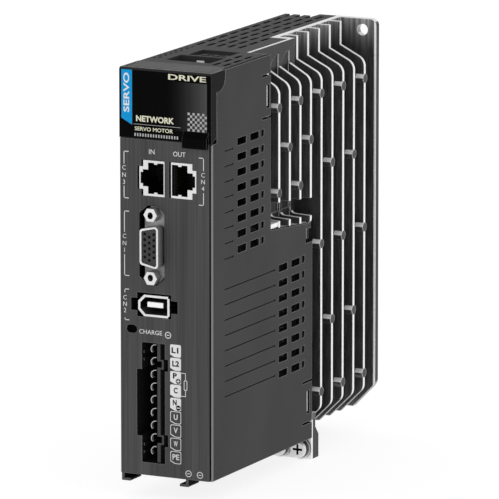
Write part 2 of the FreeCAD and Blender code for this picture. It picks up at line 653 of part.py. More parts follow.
def display_digits():
    """Five seven-segment digits."""
    bars = []
    for k in range(5):
        bars += digit_segments((k - 2) * 5.1)
    return Part.makeCompound(bars)


# ---- Connectors on the front --------------------------------------------------------------------------
RJ45_DEPTH = 15.0
RJ45_FACE = FRONT - 0.3


def rj45_cavity(side):
    """Opening of a network jack: the plug's body, and two narrower steps for its latch."""
    half = [(-4.25, 6.1), (2.5, 6.1), (2.5, 3.3), (4.8, 3.3), (4.8, 2.2), (5.8, 2.2)]
    points = half + [(x, -z) for x, z in reversed(half)]
    return [(RJ45_CENTRES[side] + side * x, RJ45_Z + z) for x, z in points]


def rj45_shell(side):
    """Metal shell of a network jack: an open-fronted stepped box with two small spring tabs at its mouth."""
    centre = RJ45_CENTRES[side]
    outer = prism(rj45_outline(side, 0.12), "Y", RJ45_FACE, RJ45_DEPTH)
    shell = outer.cut(prism(rj45_cavity(side), "Y", RJ45_FACE - 1, RJ45_DEPTH))
    for tab_side in (-1, 1):
        x0, x1 = sorted((centre - side * 1.5, centre - side * 0.1))
        z0, z1 = sorted((RJ45_Z + tab_side * 5.5, RJ45_Z + tab_side * 6.3))
        shell = shell.fuse(block(x0, x1, RJ45_FACE, RJ45_FACE + 1.2, z0, z1))
    return shell.removeSplitter()


def rj45_contact_side(side):
    """X of the cavity wall that carries the contacts, opposite the latch."""
    return RJ45_CENTRES[side] - side * 4.2


def rj45_insert(side):
    """Contact carrier: a comb along the contact side and a back wall."""
    wall_x = rj45_contact_side(side)
    x0, x1 = sorted((wall_x, wall_x + side * 0.7))
    carrier = block(x0, x1, RJ45_FACE + 1.3, RJ45_FACE + RJ45_DEPTH - 1.0, 36.2, 48.2)
    back_x0, back_x1 = sorted((wall_x + side * 0.7, wall_x + side * 6.6))
    return carrier.fuse(block(back_x0, back_x1, RJ45_FACE + 11.8, RJ45_FACE + RJ45_DEPTH - 1.0, 36.2, 48.2))


def rj45_contacts(side):
    """Eight spring wires that slope off the contact side into the cavity."""
    wall_x = rj45_contact_side(side) + side * 0.7
    wires = []
    for k in range(8):
        z = RJ45_Z + (k - 3.5) * 1.02
        points = [
            (wall_x, RJ45_FACE + 2.0), (wall_x + side * 0.35, RJ45_FACE + 2.0),
            (wall_x + side * 1.6, RJ45_FACE + 8.0), (wall_x + side * 1.25, RJ45_FACE + 8.3),
            (wall_x, RJ45_FACE + 2.8),
        ]
        wires.append(prism(points, "Z", z - 0.2, 0.4))
    return Part.makeCompound(wires)


def d_outline(half_width, half_height, slant):
    """D shape in the XZ plane, long on the right."""
    return [
        (IO_X - half_width, IO_Z - half_height + slant), (IO_X + half_width, IO_Z - half_height),
        (IO_X + half_width, IO_Z + half_height), (IO_X - half_width, IO_Z + half_height - slant),
    ]


IO_FACE = FRONT - 4.3
IO_FLANGE = FRONT + 1.2         # front of the flange


def d_solid(half_width, half_height, y, length, radius):
    """Rounded D-shaped bar."""
    bar = prism(d_outline(half_width, half_height, 1.55), "Y", y, length)
    return rounded(bar, radius, (0, 1, 0))


def io_shell():
    """Flange and D-shaped metal rim of the 15-way connector."""
    flange = block(IO_X - 4.45, IO_X + 4.05, IO_FLANGE, IO_FLANGE + 1.0, IO_Z - 15.3, IO_Z + 15.3)
    flange = chamfered(flange, 2.9, (0, 1, 0))
    rim = d_solid(4.0, 8.5, IO_FACE, 8.3, 1.4)
    shell = flange.fuse(rim).cut(d_solid(3.25, 7.75, IO_FACE - 1, 12.0, 0.9))
    for side in (-1, 1):
        place = (IO_X, FRONT, IO_Z + side * JACKSCREW_SPACING / 2)
        shell = shell.cut(rod(1.5, place, (0, 1, 0), 4))
    return shell


def io_holes():
    """The 15 contact places, in three staggered columns."""
    places = []
    for column, (dx, dz) in enumerate(((-1.98, 0.57), (0.0, -0.57), (1.98, 0.57))):
        places += [(IO_X + dx, IO_Z + dz + (k - 2) * 2.29) for k in range(5)]
    return places


def io_insulator():
    """Insert of the 15-way connector."""
    body = d_solid(3.15, 7.65, IO_FACE + 0.4, 8.3, 0.9)
    for x, z in io_holes():
        body = body.cut(rod(0.62, (x, IO_FACE - 1, z), (0, 1, 0), 7.4))
    return body.fuse(block(IO_X - 4.0, IO_X + 5.4, FRONT + 4.1, FRONT + 12.0, IO_Z - 8.0, IO_Z + 8.0))


def io_contacts():
    """Socket sleeves in the insert's holes."""
    sleeves = []
    for x, z in io_holes():
        sleeve = rod(0.6, (x, IO_FACE + 2.6, z), (0, 1, 0), 3.7)
        sleeves.append(sleeve.cut(rod(0.4, (x, IO_FACE + 1.6, z), (0, 1, 0), 3.7)))
    return Part.makeCompound(sleeves)


def io_jackscrews():
    """Two hexagonal standoffs with threaded bores."""
    screws = []
    for side in (-1, 1):
        z = IO_Z + side * JACKSCREW_SPACING / 2
        face = FRONT - 3.0
        head = prism(hexagon(IO_X, z, 5.0), "Y", face, IO_FLANGE - face)
        head = head.fuse(rod(1.45, (IO_X, IO_FLANGE - 0.1, z), (0, 1, 0), 5.0))
        screws.append(head.cut(rod(JACKSCREW_BORE_R, (IO_X, face - 1, z), (0, 1, 0), 8.5)))
    return Part.makeCompound(screws)


def encoder_shell():
    """Metal shell of the encoder socket, with both right corners notched."""
    shell = prism(encoder_outline(0.0), "Y", FRONT - 0.2, 13.0)
    shell = shell.cut(prism(encoder_outline(0.95), "Y", FRONT - 1, 12.6))
    right = ENCODER_X + 6.85
    for side in (-1, 1):
        low, high = sorted((ENCODER_Z + side * 3.55, ENCODER_Z + side * 5.0))
        shell = shell.cut(block(right - 0.6, right + 1, FRONT - 1, FRONT + 14, low, high))
    return shell


def encoder_tongue():
    """Contact tongue in the middle of the encoder socket."""
    middle = ENCODER_Z + 0.35
    tongue = block(-8.35, -1.5, FRONT + 0.8, FRONT + 11.6, middle - 1.1, middle + 1.1)
    return chamfered(tongue, 0.25, (1, 0, 0), lambda c: c.y < FRONT + 1)


def charge_lens():
    """Light pipe from the charge lamp to its hole in the panel."""
    gap, rim = 0.15, 0.5
    pipe = slot_bar(CHARGE_HALF_LENGTH - gap, CHARGE_R - gap, CHARGE_X, FRONT + 1.4, CHARGE_Z, 8.5)
    flange_y = FRONT + PANEL_THICK + 0.1
    return pipe.fuse(slot_bar(CHARGE_HALF_LENGTH + rim, CHARGE_R + rim, CHARGE_X, flange_y, CHARGE_Z, 1.4))


def terminal_places():
    """The nine contacts' Z positions, top to bottom."""
    top = TERMINAL_Z + (TERMINAL_COUNT - 1) / 2 * TERMINAL_PITCH
    return [top - k * TERMINAL_PITCH for k in range(TERMINAL_COUNT)]


def terminal_header():
    """Power header body: a deep open box with a keying step, latch pockets and coding ribs."""
    face, back = FRONT + 0.9, FRONT + 14.0
    floor = back - 1.6
    outer = [(-11.5, -2.9, -71.9, -22.0), (-13.7, -11.5, -61.4, -32.8), (-2.9, -1.4, -33.4, -29.6),
             (-2.9, -1.4, -63.5, -59.7)]
    inner = [(-10.5, -4.1, -70.9, -23.0), (-12.7, -10.4, -60.4, -33.8), (-4.2, -2.2, -32.8, -30.2),
             (-4.2, -2.2, -62.9, -60.3)]
    body = fused([block(x0, x1, face, back, z0, z1) for x0, x1, z0, z1 in outer])
    for x0, x1, z0, z1 in inner:
        body = body.cut(block(x0, x1, FRONT - 1, floor, z0, z1))
    rib_half, pin_half = 0.6, 0.55
    for z in (-27.0, -30.0, -64.0, -67.0):
        body = body.fuse(block(-10.6, -9.9, face + 0.3, floor + 0.1, z - rib_half, z + rib_half))
    for z in terminal_places():
        body = body.cut(block(TERMINAL_X - pin_half, TERMINAL_X + pin_half, back - 3, back + 1,
                              z - pin_half, z + pin_half))
    seat = FRONT + PANEL_THICK + 0.05
    collar = body.common(header_opening(FRONT, seat, 0.1))
    return collar.fuse(body.cut(block(LEFT, RIGHT, FRONT, seat, BODY_BOTTOM, 0.0))).removeSplitter()


def terminal_contacts():
    """Nine contacts: a square pin to the board, with a curved blade around its front."""
    contacts = []
    for z in terminal_places():
        pin = block(TERMINAL_X - 0.5, TERMINAL_X + 0.5, FRONT + 8.6, -128.0, z - 0.5, z + 0.5)
        ring = rod(1.95, (TERMINAL_X + 0.9, FRONT + 3.2, z), (0, 1, 0), 8.0)
        ring = ring.cut(rod(1.65, (TERMINAL_X + 0.9, FRONT + 2, z), (0, 1, 0), 10.0))
        keep = block(TERMINAL_X - 2, TERMINAL_X + 1.4, FRONT + 3, FRONT + 12, z - 1.3, z + 2.5)
        stem = block(TERMINAL_X - 0.9, TERMINAL_X, FRONT + 8.6, FRONT + 11.2, z - 0.3, z + 0.3)
        contacts.append(pin.fuse(stem).fuse(ring.common(keep)))
    return Part.makeCompound(contacts)


def top_connector():
    """Small shrouded connector at the bottom of the top pocket."""
    shroud = block(-4.4, 4.0, -127.2, -120.6, 76.0, 83.4)
    shroud = shroud.cut(block(-3.6, 3.2, -126.4, -121.4, 77.4, TOP))
    pins = [block(x, x + 0.6, -124.2, -123.6, 77.4, 81.0) for x in (-2.6, -0.5, 1.6)]
    latch = block(-0.9, 2.1, -121.5, -120.6, 76.0, 84.4)
    return fused([shroud, latch] + pins)


# ---- Fasteners ----------------------------------------------------------------------------------------
def pe_screws():
    """Two cross-slotted pan-head screws in the earth lug."""
    screws = []
    for x in pe_places():
        head_y = LUG_FRONT - 1.0
        head = rod(3.8, (x, head_y - 2.7, PE_SCREW_Z), (0, 1, 0), 2.7)
        head = head.makeFillet(1.3, [e for e in head.Edges if abs(e.CenterOfMass.y - head_y + 2.7) < 0.01])
        for half_x, half_z in ((2.1, 0.45), (0.45, 2.1)):
            head = head.cut(block(x - half_x, x + half_x, head_y - 3, head_y - 1.1,
                                  PE_SCREW_Z - half_z, PE_SCREW_Z + half_z))
        screws.append(head.fuse(rod(1.95, (x, head_y, PE_SCREW_Z), (0, 1, 0), 6.6)))
    return Part.makeCompound(screws)


def pe_washers():
    """Two washers under the earth screws."""
    washers = []
    for x in pe_places():
        disc = rod(4.4, (x, LUG_FRONT - 1.0, PE_SCREW_Z), (0, 1, 0), 1.0)
        washers.append(disc.cut(rod(2.15, (x, LUG_FRONT - 2.0, PE_SCREW_Z), (0, 1, 0), 3.0)))
    return Part.makeCompound(washers)


def module_screw_places():
    """Y and Z of the two screws that clamp the power module."""
    return [(-44.0, 36.0), (-44.0, -30.0)]


def module_screws():
    """Two screws through the power module into the heat sink."""
    screws = []
    for y, z in module_screw_places():
        head = rod(2.7, (-5.2 + 1.3, y, z), (1, 0, 0), 1.3)
        screws.append(head.fuse(rod(1.25, (-2.7, y, z), (1, 0, 0), 5.6)))
    return Part.makeCompound(screws)


# ---- Boards and inner parts ---------------------------------------------------------------------------
def control_board():
    """Upright board that carries the signal connectors."""
    return block(CONTROL_BOARD_X, CONTROL_BOARD_X + BOARD_THICK, -134.6, SINK_FRONT - 1.2, -19.0, 56.0)


def signal_chips():
    """Processor, memory and interface chips on the control board."""
    x = CONTROL_BOARD_X + BOARD_THICK
    places = [(-122.0, 30.0, 14.0, 14.0, 1.4), (-110.0, 4.0, 9.0, 6.0, 1.2), (-122.0, 6.0, 6.0, 8.0, 1.2),
              (-112.0, -12.0, 7.0, 5.0, 1.6)]
    return Part.makeCompound([
        block(x, x + height, y, y + length, z, z + rise) for y, z, length, rise, height in places
    ])


def power_board():
    """Upright board that carries the power stage, notched in front for the signal connectors."""
    board = block(POWER_BOARD_X, BOARD_RIGHT, -128.0, -8.0, -72.0, 72.0)
    for y, z in pillar_places():
        board = board.cut(rod(1.7, (POWER_BOARD_X - 1, y, z), (1, 0, 0), BOARD_THICK + 2))
    return board


def pillar_places():
    """Y and Z of the pillars between the power board and the heat sink."""
    return [(-52.0, 60.0), (-14.0, 60.0), (-52.0, -64.0), (-14.0, -64.0)]


def board_pillars():
    """Four pillars that hold the power board off the heat sink."""
    return Part.makeCompound([
        rod(3.0, (BOARD_RIGHT, y, z), (1, 0, 0), SINK_LEFT - BOARD_RIGHT)
        .cut(rod(1.25, (BOARD_RIGHT - 1, y, z), (1, 0, 0), 5.0))
        for y, z in pillar_places()
    ])


def board_screws():
    """Four screws through the power board into the pillars."""
    head_height = 1.8
    screws = []
    for y, z in pillar_places():
        head = rod(2.9, (POWER_BOARD_X - head_height, y, z), (1, 0, 0), head_height)
        screws.append(head.fuse(rod(1.2, (POWER_BOARD_X, y, z), (1, 0, 0), 4.6)))
    return Part.makeCompound(screws)


def power_module():
    """Power module against the heat sink."""
    body = block(-2.4, 1.0, -60.0 + 3.0, -31.0, -34.0, 40.0)
    for y, z in module_screw_places():
        body = body.cut(rod(1.6, (-3, y, z), (1, 0, 0), 5))
        body = body.cut(rod(3.1, (-3.4, y, z), (1, 0, 0), 1.0))
    return body


def thermal_pad():
    """Heat-conducting pad between the module and the heat sink."""
    pad = block(1.0, SINK_LEFT, -56.0, -32.0, -33.0, 39.0)
    for y, z in module_screw_places():
        pad = pad.cut(rod(1.7, (0.5, y, z), (1, 0, 0), 2))
    return pad


def bus_capacitors():
    """Three bulk capacitors beside the power board, each with a crimp groove."""
    radius, length, y = 9.0, 23.0, -82.0
    cans = []
    for z in (-58.0, -36.0, -14.0):
        can = rod(radius, (BOARD_RIGHT, y, z), (1, 0, 0), length)
        groove = rod(radius + 0.6, (BOARD_RIGHT + 3.0, y, z), (1, 0, 0), 1.2)
        groove = groove.cut(rod(radius - 0.5, (BOARD_RIGHT + 2.0, y, z), (1, 0, 0), 4.0))
        can = can.cut(groove)
        far_end = BOARD_RIGHT + length
        cans.append(can.makeFillet(0.8, [e for e in can.Edges if abs(e.CenterOfMass.x - far_end) < 0.01]))
    return Part.makeCompound(cans)


def on_power_board(y, z, length, rise, height):
    """Box-shaped part on the left face of the power board."""
    return block(POWER_BOARD_X - height, POWER_BOARD_X, y, y + length, z, z + rise)


def relay():
    """Inrush relay."""
    return rounded(on_power_board(-118.0, -40.0, 10.0, 20.0, 9.4), 0.8, (1, 0, 0))


def transformer():
    """Small switching transformer: core, winding and flanges."""
    core = on_power_board(-84.0, 30.0, 18.0, 20.0, 8.6)
    winding = on_power_board(-87.0, 33.0, 24.0, 14.0, 6.6)
    return rounded(core.fuse(winding), 0.8, (1, 0, 0), lambda c: abs(c.y + 75.0) > 10.0)


def line_choke():
    """Ring core of the line filter, flat against the board."""
    y, z, height = -104.0, -4.0, 8.4
    face = POWER_BOARD_X - height
    ring = rod(9.0, (face, y, z), (1, 0, 0), height)
    ring = ring.cut(rod(4.2, (face - 1, y, z), (1, 0, 0), height + 2))
    return ring.makeFillet(1.2, [e for e in ring.Edges if abs(e.CenterOfMass.x - face) < 0.01])


def film_capacitors():
    """Film capacitors of the line filter."""
    return Part.makeCompound([
        rounded(on_power_board(y, z, 6.0, 13.0, 9.0), 0.6, (1, 0, 0))
        for y, z in ((-118.0, -66.0), (-108.0, -66.0), (-98.0, -66.0), (-60.0, -40.0))
    ])


def board_link():
    """Board-to-board connector between the power board and the control board."""
    return block(BOARD_RIGHT, CONTROL_BOARD_X, -120.0, -106.0, 40.0, 46.0)


NODES = {
    "front_frame": front_frame,
    "housing": housing,
    "side_cover": side_cover,
    "heat_sink": heat_sink,
    "display_cover": display_cover,
    "cover_inlay": cover_inlay,
    "keypad_bezel": keypad_bezel,
    "tact_switches": tact_switches,
    "display_module": display_module,
    "display_digits": display_digits,
    "display_board": display_board,
    "rj45_in_shell": lambda: rj45_shell(-1),
    "rj45_in_insert": lambda: rj45_insert(-1),
    "rj45_in_contacts": lambda: rj45_contacts(-1),
    "rj45_out_shell": lambda: rj45_shell(1),
    "rj45_out_insert": lambda: rj45_insert(1),
    "rj45_out_contacts": lambda: rj45_contacts(1),
    "io_shell": io_shell,
    "io_insulator": io_insulator,
    "io_contacts": io_contacts,
    "io_jackscrews": io_jackscrews,
    "encoder_shell": encoder_shell,
    "encoder_tongue": encoder_tongue,
    "charge_lens": charge_lens,
    "terminal_header": terminal_header,
    "terminal_contacts": terminal_contacts,
    "top_connector": top_connector,
    "pe_screws": pe_screws,
    "pe_washers": pe_washers,
    "control_board": control_board,
    "signal_chips": signal_chips,
    "power_board": power_board,
    "board_pillars": board_pillars,
    "board_screws": board_screws,
    "power_module": power_module,
    "module_screws": module_screws,
    "thermal_pad": thermal_pad,
    "bus_capacitors": bus_capacitors,
    "relay": relay,
    "transformer": transformer,
    "line_choke": line_choke,
    "film_capacitors": film_capacitors,
    "board_link": board_link,
}


def main():
    """Build and write every node."""
    os.makedirs("parts", exist_ok=True)
    for name, make in NODES.items():
        save(name, make())
    for name, x in key_places().items():
        save(name, key(x))


main()
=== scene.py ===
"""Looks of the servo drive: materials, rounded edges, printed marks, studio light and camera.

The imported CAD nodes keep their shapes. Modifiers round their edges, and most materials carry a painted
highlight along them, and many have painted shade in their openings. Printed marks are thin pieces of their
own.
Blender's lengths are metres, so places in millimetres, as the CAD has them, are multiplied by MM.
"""
import json
import math
from collections import namedtuple

import bmesh
import bpy
from mathutils import Matrix, Vector


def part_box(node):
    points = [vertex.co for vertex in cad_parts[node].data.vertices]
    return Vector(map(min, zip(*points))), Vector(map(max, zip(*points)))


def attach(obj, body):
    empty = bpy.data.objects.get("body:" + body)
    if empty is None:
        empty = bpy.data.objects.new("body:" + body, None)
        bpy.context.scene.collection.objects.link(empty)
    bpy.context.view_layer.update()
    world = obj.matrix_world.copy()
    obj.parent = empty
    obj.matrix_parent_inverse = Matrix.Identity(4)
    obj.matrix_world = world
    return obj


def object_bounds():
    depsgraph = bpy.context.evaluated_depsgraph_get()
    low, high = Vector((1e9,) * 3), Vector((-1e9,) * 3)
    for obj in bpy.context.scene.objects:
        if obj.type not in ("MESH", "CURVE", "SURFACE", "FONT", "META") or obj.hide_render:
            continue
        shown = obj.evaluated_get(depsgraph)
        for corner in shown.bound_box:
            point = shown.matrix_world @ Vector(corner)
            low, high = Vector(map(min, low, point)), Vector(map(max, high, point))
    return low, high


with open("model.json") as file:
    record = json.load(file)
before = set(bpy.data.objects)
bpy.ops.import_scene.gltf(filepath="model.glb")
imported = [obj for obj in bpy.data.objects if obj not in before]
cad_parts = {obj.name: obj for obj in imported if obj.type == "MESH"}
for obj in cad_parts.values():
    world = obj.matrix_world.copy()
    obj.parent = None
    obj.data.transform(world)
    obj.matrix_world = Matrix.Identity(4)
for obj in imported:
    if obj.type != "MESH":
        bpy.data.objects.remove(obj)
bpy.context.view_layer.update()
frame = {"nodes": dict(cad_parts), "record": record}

MM = 0.001
PANEL_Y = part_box("front_frame")[0].y
MIDDLE = Vector((0.0, -75 * MM, 0.0))


# ---- Node trees ---------------------------------------------------------------------------------------
BEVEL_SAMPLES = 6
TURNED, FLAT = 0.8, 0.985      # cosines between the rounded and the true normal, where an edge's painted highlight is full and where it ends
RANGE_SOCKETS = ("From Min", "From Max", "To Min", "To Max")


class Tree:
    """A material's node tree with short calls for adding and linking nodes."""

    def __init__(self, name):
        self.material = bpy.data.materials.new(name)
        self.material.use_nodes = True
        self.nodes = self.material.node_tree.nodes
        self.links = self.material.node_tree.links
        self.shader = self.nodes["Principled BSDF"]
        self.where = self.nodes.new("ShaderNodeTexCoord").outputs["Object"]
        self.rounded = None
        self.edge_highlight = None

    def feed(self, socket, value):
        """Links an output to a socket, or sets the socket's own value."""
        if isinstance(value, bpy.types.NodeSocket):
            self.links.new(value, socket)
        else:
            socket.default_value = value

    def noise(self, scale, detail=3.0, rough=0.55):
        """Noise from 0 to 1 in object space; scale is in patterns per metre along X, Y and Z."""
        stretch = self.nodes.new("ShaderNodeMapping")
        stretch.inputs["Scale"].default_value = scale
        self.links.new(self.where, stretch.inputs["Vector"])
        texture = self.nodes.new("ShaderNodeTexNoise")
        texture.inputs["Scale"].default_value = 1.0
        texture.inputs["Detail"].default_value = detail
        texture.inputs["Roughness"].default_value = rough
        self.links.new(stretch.outputs["Vector"], texture.inputs["Vector"])
        return texture.outputs["Fac"]

    def math(self, operation, a, b):
        """One arithmetic step."""
        node = self.nodes.new("ShaderNodeMath")
        node.operation = operation
        self.feed(node.inputs[0], a)
        self.feed(node.inputs[1], b)
        return node.outputs["Value"]

    def span(self, value, low, high, to_low=0.0, to_high=1.0, smooth=False):
        """Maps low..high to to_low..to_high, and holds the ends."""
        node = self.nodes.new("ShaderNodeMapRange")
        node.interpolation_type = "SMOOTHSTEP" if smooth else "LINEAR"
        for socket, number in zip(RANGE_SOCKETS, (low, high, to_low, to_high)):
            self.feed(node.inputs[socket], number)
        self.feed(node.inputs["Value"], value)
        return node.outputs["Result"]

    def mix(self, factor, a, b):
        """Mixes two colours."""
        node = self.nodes.new("ShaderNodeMix")
        node.data_type = "RGBA"
        sockets = [s for s in node.inputs if s.type == "RGBA"]
        self.feed(node.inputs["Factor"], factor)
        self.feed(sockets[0], a)
        self.feed(sockets[1], b)
        return next(s for s in node.outputs if s.type == "RGBA")

    def axis(self, name, source=None):
        """One coordinate of the object-space place, or of another vector."""
        node = self.nodes.new("ShaderNodeSeparateXYZ")
        self.links.new(source or self.where, node.inputs["Vector"])
        return node.outputs[name]

    def normal(self):
        """The surface's true normal, in object space."""
        return self.nodes.new("ShaderNodeTexCoord").outputs["Normal"]

    def edges(self, radius):
        """1 within a radius in millimetres of sharp edges, and 0 elsewhere. The bump follows the edges."""
        bevel = self.nodes.new("ShaderNodeBevel")
        bevel.samples = BEVEL_SAMPLES
        bevel.inputs["Radius"].default_value = radius * MM
        self.rounded = bevel.outputs["Normal"]
        turn = self.nodes.new("ShaderNodeVectorMath")
        turn.operation = "DOT_PRODUCT"
        self.links.new(self.rounded, turn.inputs[0])
        self.links.new(self.nodes.new("ShaderNodeNewGeometry").outputs["True Normal"], turn.inputs[1])
        self.edge_highlight = self.span(turn.outputs["Value"], TURNED, FLAT, 1.0, 0.0)
        return self.edge_highlight

    def bump(self, height, depth):
        """Bumps the surface by a height map, depth metres deep."""
        node = self.nodes.new("ShaderNodeBump")
        if self.rounded:
            self.links.new(self.rounded, node.inputs["Normal"])
        node.inputs["Strength"].default_value = 1.0
        node.inputs["Distance"].default_value = depth
        self.links.new(height, node.inputs["Height"])
        self.links.new(node.outputs["Normal"], self.shader.inputs["Normal"])


def rgb(grey_or_colour, scale=1.0):
    """A colour with alpha, from one grey number or three."""
    colour = grey_or_colour if isinstance(grey_or_colour, (tuple, list)) else (grey_or_colour,) * 3
    return tuple(min(1.0, c * scale) for c in colour) + (1.0,)


def surface(name, colour, rough, metallic=0.0, grain=(900, 900, 900), contrast=0.25, depth=0.01,
            mottle=0.12, specular=0.5, edge=None, radius=0.1):
    """A finish with fine grain in its colour, roughness and height, slow colour changes over its length, and
    a painted highlight in the edge colour, within a radius in millimetres of its sharp edges."""
    tree = Tree(name)
    fine = tree.noise(grain, detail=4.0)
    slow = tree.noise((45, 30, 18), detail=2.0)
    shade = tree.math("MULTIPLY", tree.span(fine, 0.3, 0.7, 1.0 - contrast, 1.0 + contrast),
                      tree.span(slow, 0.35, 0.65, 1.0 - mottle, 1.0 + mottle))
    low, high = rgb(colour, 0.5), rgb(colour, 1.5)
    tree.feed(tree.shader.inputs["Base Color"], tree.mix(tree.span(shade, 0.5, 1.5), low, high))
    smooth, dry = rough * 0.8, min(1.0, rough * 1.2)
    tree.feed(tree.shader.inputs["Roughness"], tree.span(fine, 0.25, 0.75, smooth, dry))
    tree.shader.inputs["Metallic"].default_value = metallic
    tree.shader.inputs["Specular IOR Level"].default_value = specular
    if edge is not None:
        # Painted highlight along the sharp edges.
        recolour(tree, tree.edges(radius), rgb(edge))
    tree.bump(fine, depth * MM)
    return tree


# ---- Masks: places in millimetres ---------------------------------------------------------------------
FAR = 999.0                    # past every face of the drive
EVERYWHERE = (-FAR, FAR)
PAST_ONE = 1.01                # just above the largest part of a normal
DEPTH_SHADE = rgb(0.0015)           # painted shade for the depths of slots and sockets


def all_of(tree, *masks):
    """1 where all the masks are 1."""
    whole = masks[0]
    for mask in masks[1:]:
        whole = tree.math("MULTIPLY", whole, mask)
    return whole


def any_of(tree, *masks):
    """1 where any of the masks is 1."""
    whole = masks[0]
    for mask in masks[1:]:
        whole = tree.math("MAXIMUM", whole, mask)
    return whole


def outside(tree, mask):
    """1 where a mask is 0."""
    return tree.math("SUBTRACT", 1.0, mask)


def between(tree, value, low, high):
    """1 where a value lies between two numbers, else 0."""
    return all_of(tree, tree.math("GREATER_THAN", value, low), tree.math("LESS_THAN", value, high))


def in_box(tree, x=EVERYWHERE, y=EVERYWHERE, z=EVERYWHERE):
    """1 inside a box given as (low, high) spans, else 0."""
    masks = []
    for axis, (low, high) in (("X", x), ("Y", y), ("Z", z)):
        if (low, high) != EVERYWHERE:
            masks.append(between(tree, tree.axis(axis), low * MM, high * MM))
    return all_of(tree, *masks)


def facing(tree, axis, low, high=PAST_ONE):
    """1 where the surface's normal along an axis lies between two numbers, else 0."""
    return between(tree, tree.axis(axis, tree.normal()), low, high)


def near_axis(tree, x, z, reach):
    """1 within a reach of the line along Y through (x, z), else 0."""
    across = tree.math("SUBTRACT", tree.axis("X"), x * MM)
    up = tree.math("SUBTRACT", tree.axis("Z"), z * MM)
    squares = tree.math("ADD", tree.math("MULTIPLY", across, across), tree.math("MULTIPLY", up, up))
    return tree.math("LESS_THAN", squares, (reach * MM) ** 2)


def recolour(tree, mask, colour):
    """Mixes another colour over the base colour."""
    socket = tree.shader.inputs["Base Color"]
    below = socket.links[0].from_socket
    tree.feed(socket, tree.mix(mask, below, colour))


def dull(tree, mask):
    """Takes the shine off, where the mask is 1."""
    rough = tree.shader.inputs["Roughness"]
    tree.feed(rough, tree.math("MAXIMUM", rough.links[0].from_socket, mask))


def shade_depths(tree, mask):
    """Paints shade on the walls within a mask, dark and dull: the depths of slots and openings."""
    recolour(tree, mask, DEPTH_SHADE)
    dull(tree, mask)


def node_middle(node):
    """Middle of a node's box, in millimetres."""
    low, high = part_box(node)
    return (low + high) / 2 / MM


def node_front(node):
    """Y of a node's front face, in millimetres."""
    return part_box(node)[0].y / MM


# ---- Materials: places in millimetres -----------------------------------------------------------------
MOULDED = dict(grain=(1600, 1600, 1600), contrast=0.12, depth=0.01, specular=0.2)
PLATED = dict(metallic=0.5, contrast=0.06, depth=0.004, mottle=0.04)

SKIN = 0.35                    # from a front face to the painted shade on the walls of its openings
PANEL_INSIDE = dict(x=(-19.8, FAR), z=(-78.7, 84.6))     # within the front frame's left, lower and top faces
SHELL_INSIDE = dict(x=(-19.7, FAR), z=(-75.7, 84.7))     # and within the housing's
POCKET_SIDES = (8.5, 5.4)      # from the top connector to the left and right walls of its pocket
POCKET_ENDS = (1.7, 22.0)      # and to the front and rear walls
POCKET_FLOOR = 75.0

LIP_INNER = 19.5               # X just inside the side cover's front lip, which carries a painted highlight
LIP_DEPTH = 1.0
SLOT_OUTER = 19.55             # X up to which the walls of its slots carry painted shade
SLOT_START = 0.3               # and how far behind its front face they start
GROOVE_INNER = 19.45           # X just inside its pointer grooves
GROOVES = (                    # Y and Z spans of the side cover's pointer grooves
    ((-139.2, -130.9), (9.0, 54.0)),
    ((-139.2, -94.1), (-46.0, 0.0)),
)
HEADER_MIDDLE = -3.0           # X right of which the painted shade inside the power header is a little lighter


def panel_plastic():
    """Front panel: dark plastic with long vertical streaks, painted highlights along its edges, and painted
    shade on the walls of its openings.
    """
    tree = Tree("panel_plastic")
    dark, light, edge_highlight = rgb(0.03), rgb(0.078), rgb(0.24)
    streaks = tree.noise((1500, 60, 10), detail=5.0, rough=0.65)
    broad = tree.noise((95, 20, 5), detail=2.0)
    shade = tree.math("ADD", tree.span(streaks, 0.3, 0.7, -0.35, 0.35),
                      tree.span(broad, 0.35, 0.65, 0.8, 1.2))
    tree.feed(tree.shader.inputs["Base Color"], tree.mix(tree.span(shade, 0.55, 1.45), dark, light))
    tree.feed(tree.shader.inputs["Roughness"], tree.span(streaks, 0.25, 0.75, 0.42, 0.62))
    tree.shader.inputs["Specular IOR Level"].default_value = 0.2
    # Painted highlight along the edges.
    recolour(tree, tree.edges(0.4), edge_highlight)
    # Painted shade on the walls of the openings, from just behind the front face.
    shade_depths(tree, in_box(tree, y=(node_front("front_frame") + SKIN, FAR), **PANEL_INSIDE))
    tree.bump(streaks, 0.012 * MM)
    return tree.material


def shell_plastic():
    """Housing: moulded texture with painted highlights along its slot edges. Painted shade makes it black
    inside, except in the top's pocket, which is a flat dark grey.
    """
    tree = surface("shell_plastic", 0.031, 0.6, edge=0.2, radius=0.36, **MOULDED)
    low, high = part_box("top_connector")
    left, right = POCKET_SIDES
    front, rear = POCKET_ENDS
    pocket = in_box(tree, (low.x / MM - left, high.x / MM + right), (low.y / MM - front, high.y / MM + rear),
                    (POCKET_FLOOR, FAR))
    inner = in_box(tree, **SHELL_INSIDE)
    # Painted shade: black inside the housing, and a flat dark grey in the top's pocket.
    recolour(tree, all_of(tree, inner, outside(tree, pocket)), DEPTH_SHADE)
    recolour(tree, all_of(tree, inner, pocket), rgb(0.035))
    return tree.material


def side_plastic():
    """Side cover: moulded texture, painted highlights along its edges and on its front lip, and painted
    shade on its slot walls and in its grooves.
    """
    tree = surface("side_plastic", 0.032, 0.6, edge=0.3, radius=0.45, **MOULDED)
    front = node_front("side_cover")
    # Painted highlight on the front lip.
    recolour(tree, in_box(tree, (LIP_INNER, FAR), (-FAR, front + LIP_DEPTH)), rgb(0.2))
    # Painted shade on the walls of the slots, from just behind the front face.
    shade_depths(tree, in_box(tree, (-FAR, SLOT_OUTER), (front + SLOT_START, FAR)))
    # Painted shade along the grooves' edges, in place of the painted edge highlight.
    for y, z in GROOVES:
        grooves = in_box(tree, (GROOVE_INNER, FAR), y, z)
        recolour(tree, all_of(tree, grooves, tree.edge_highlight), rgb(0.012))
    return tree.material


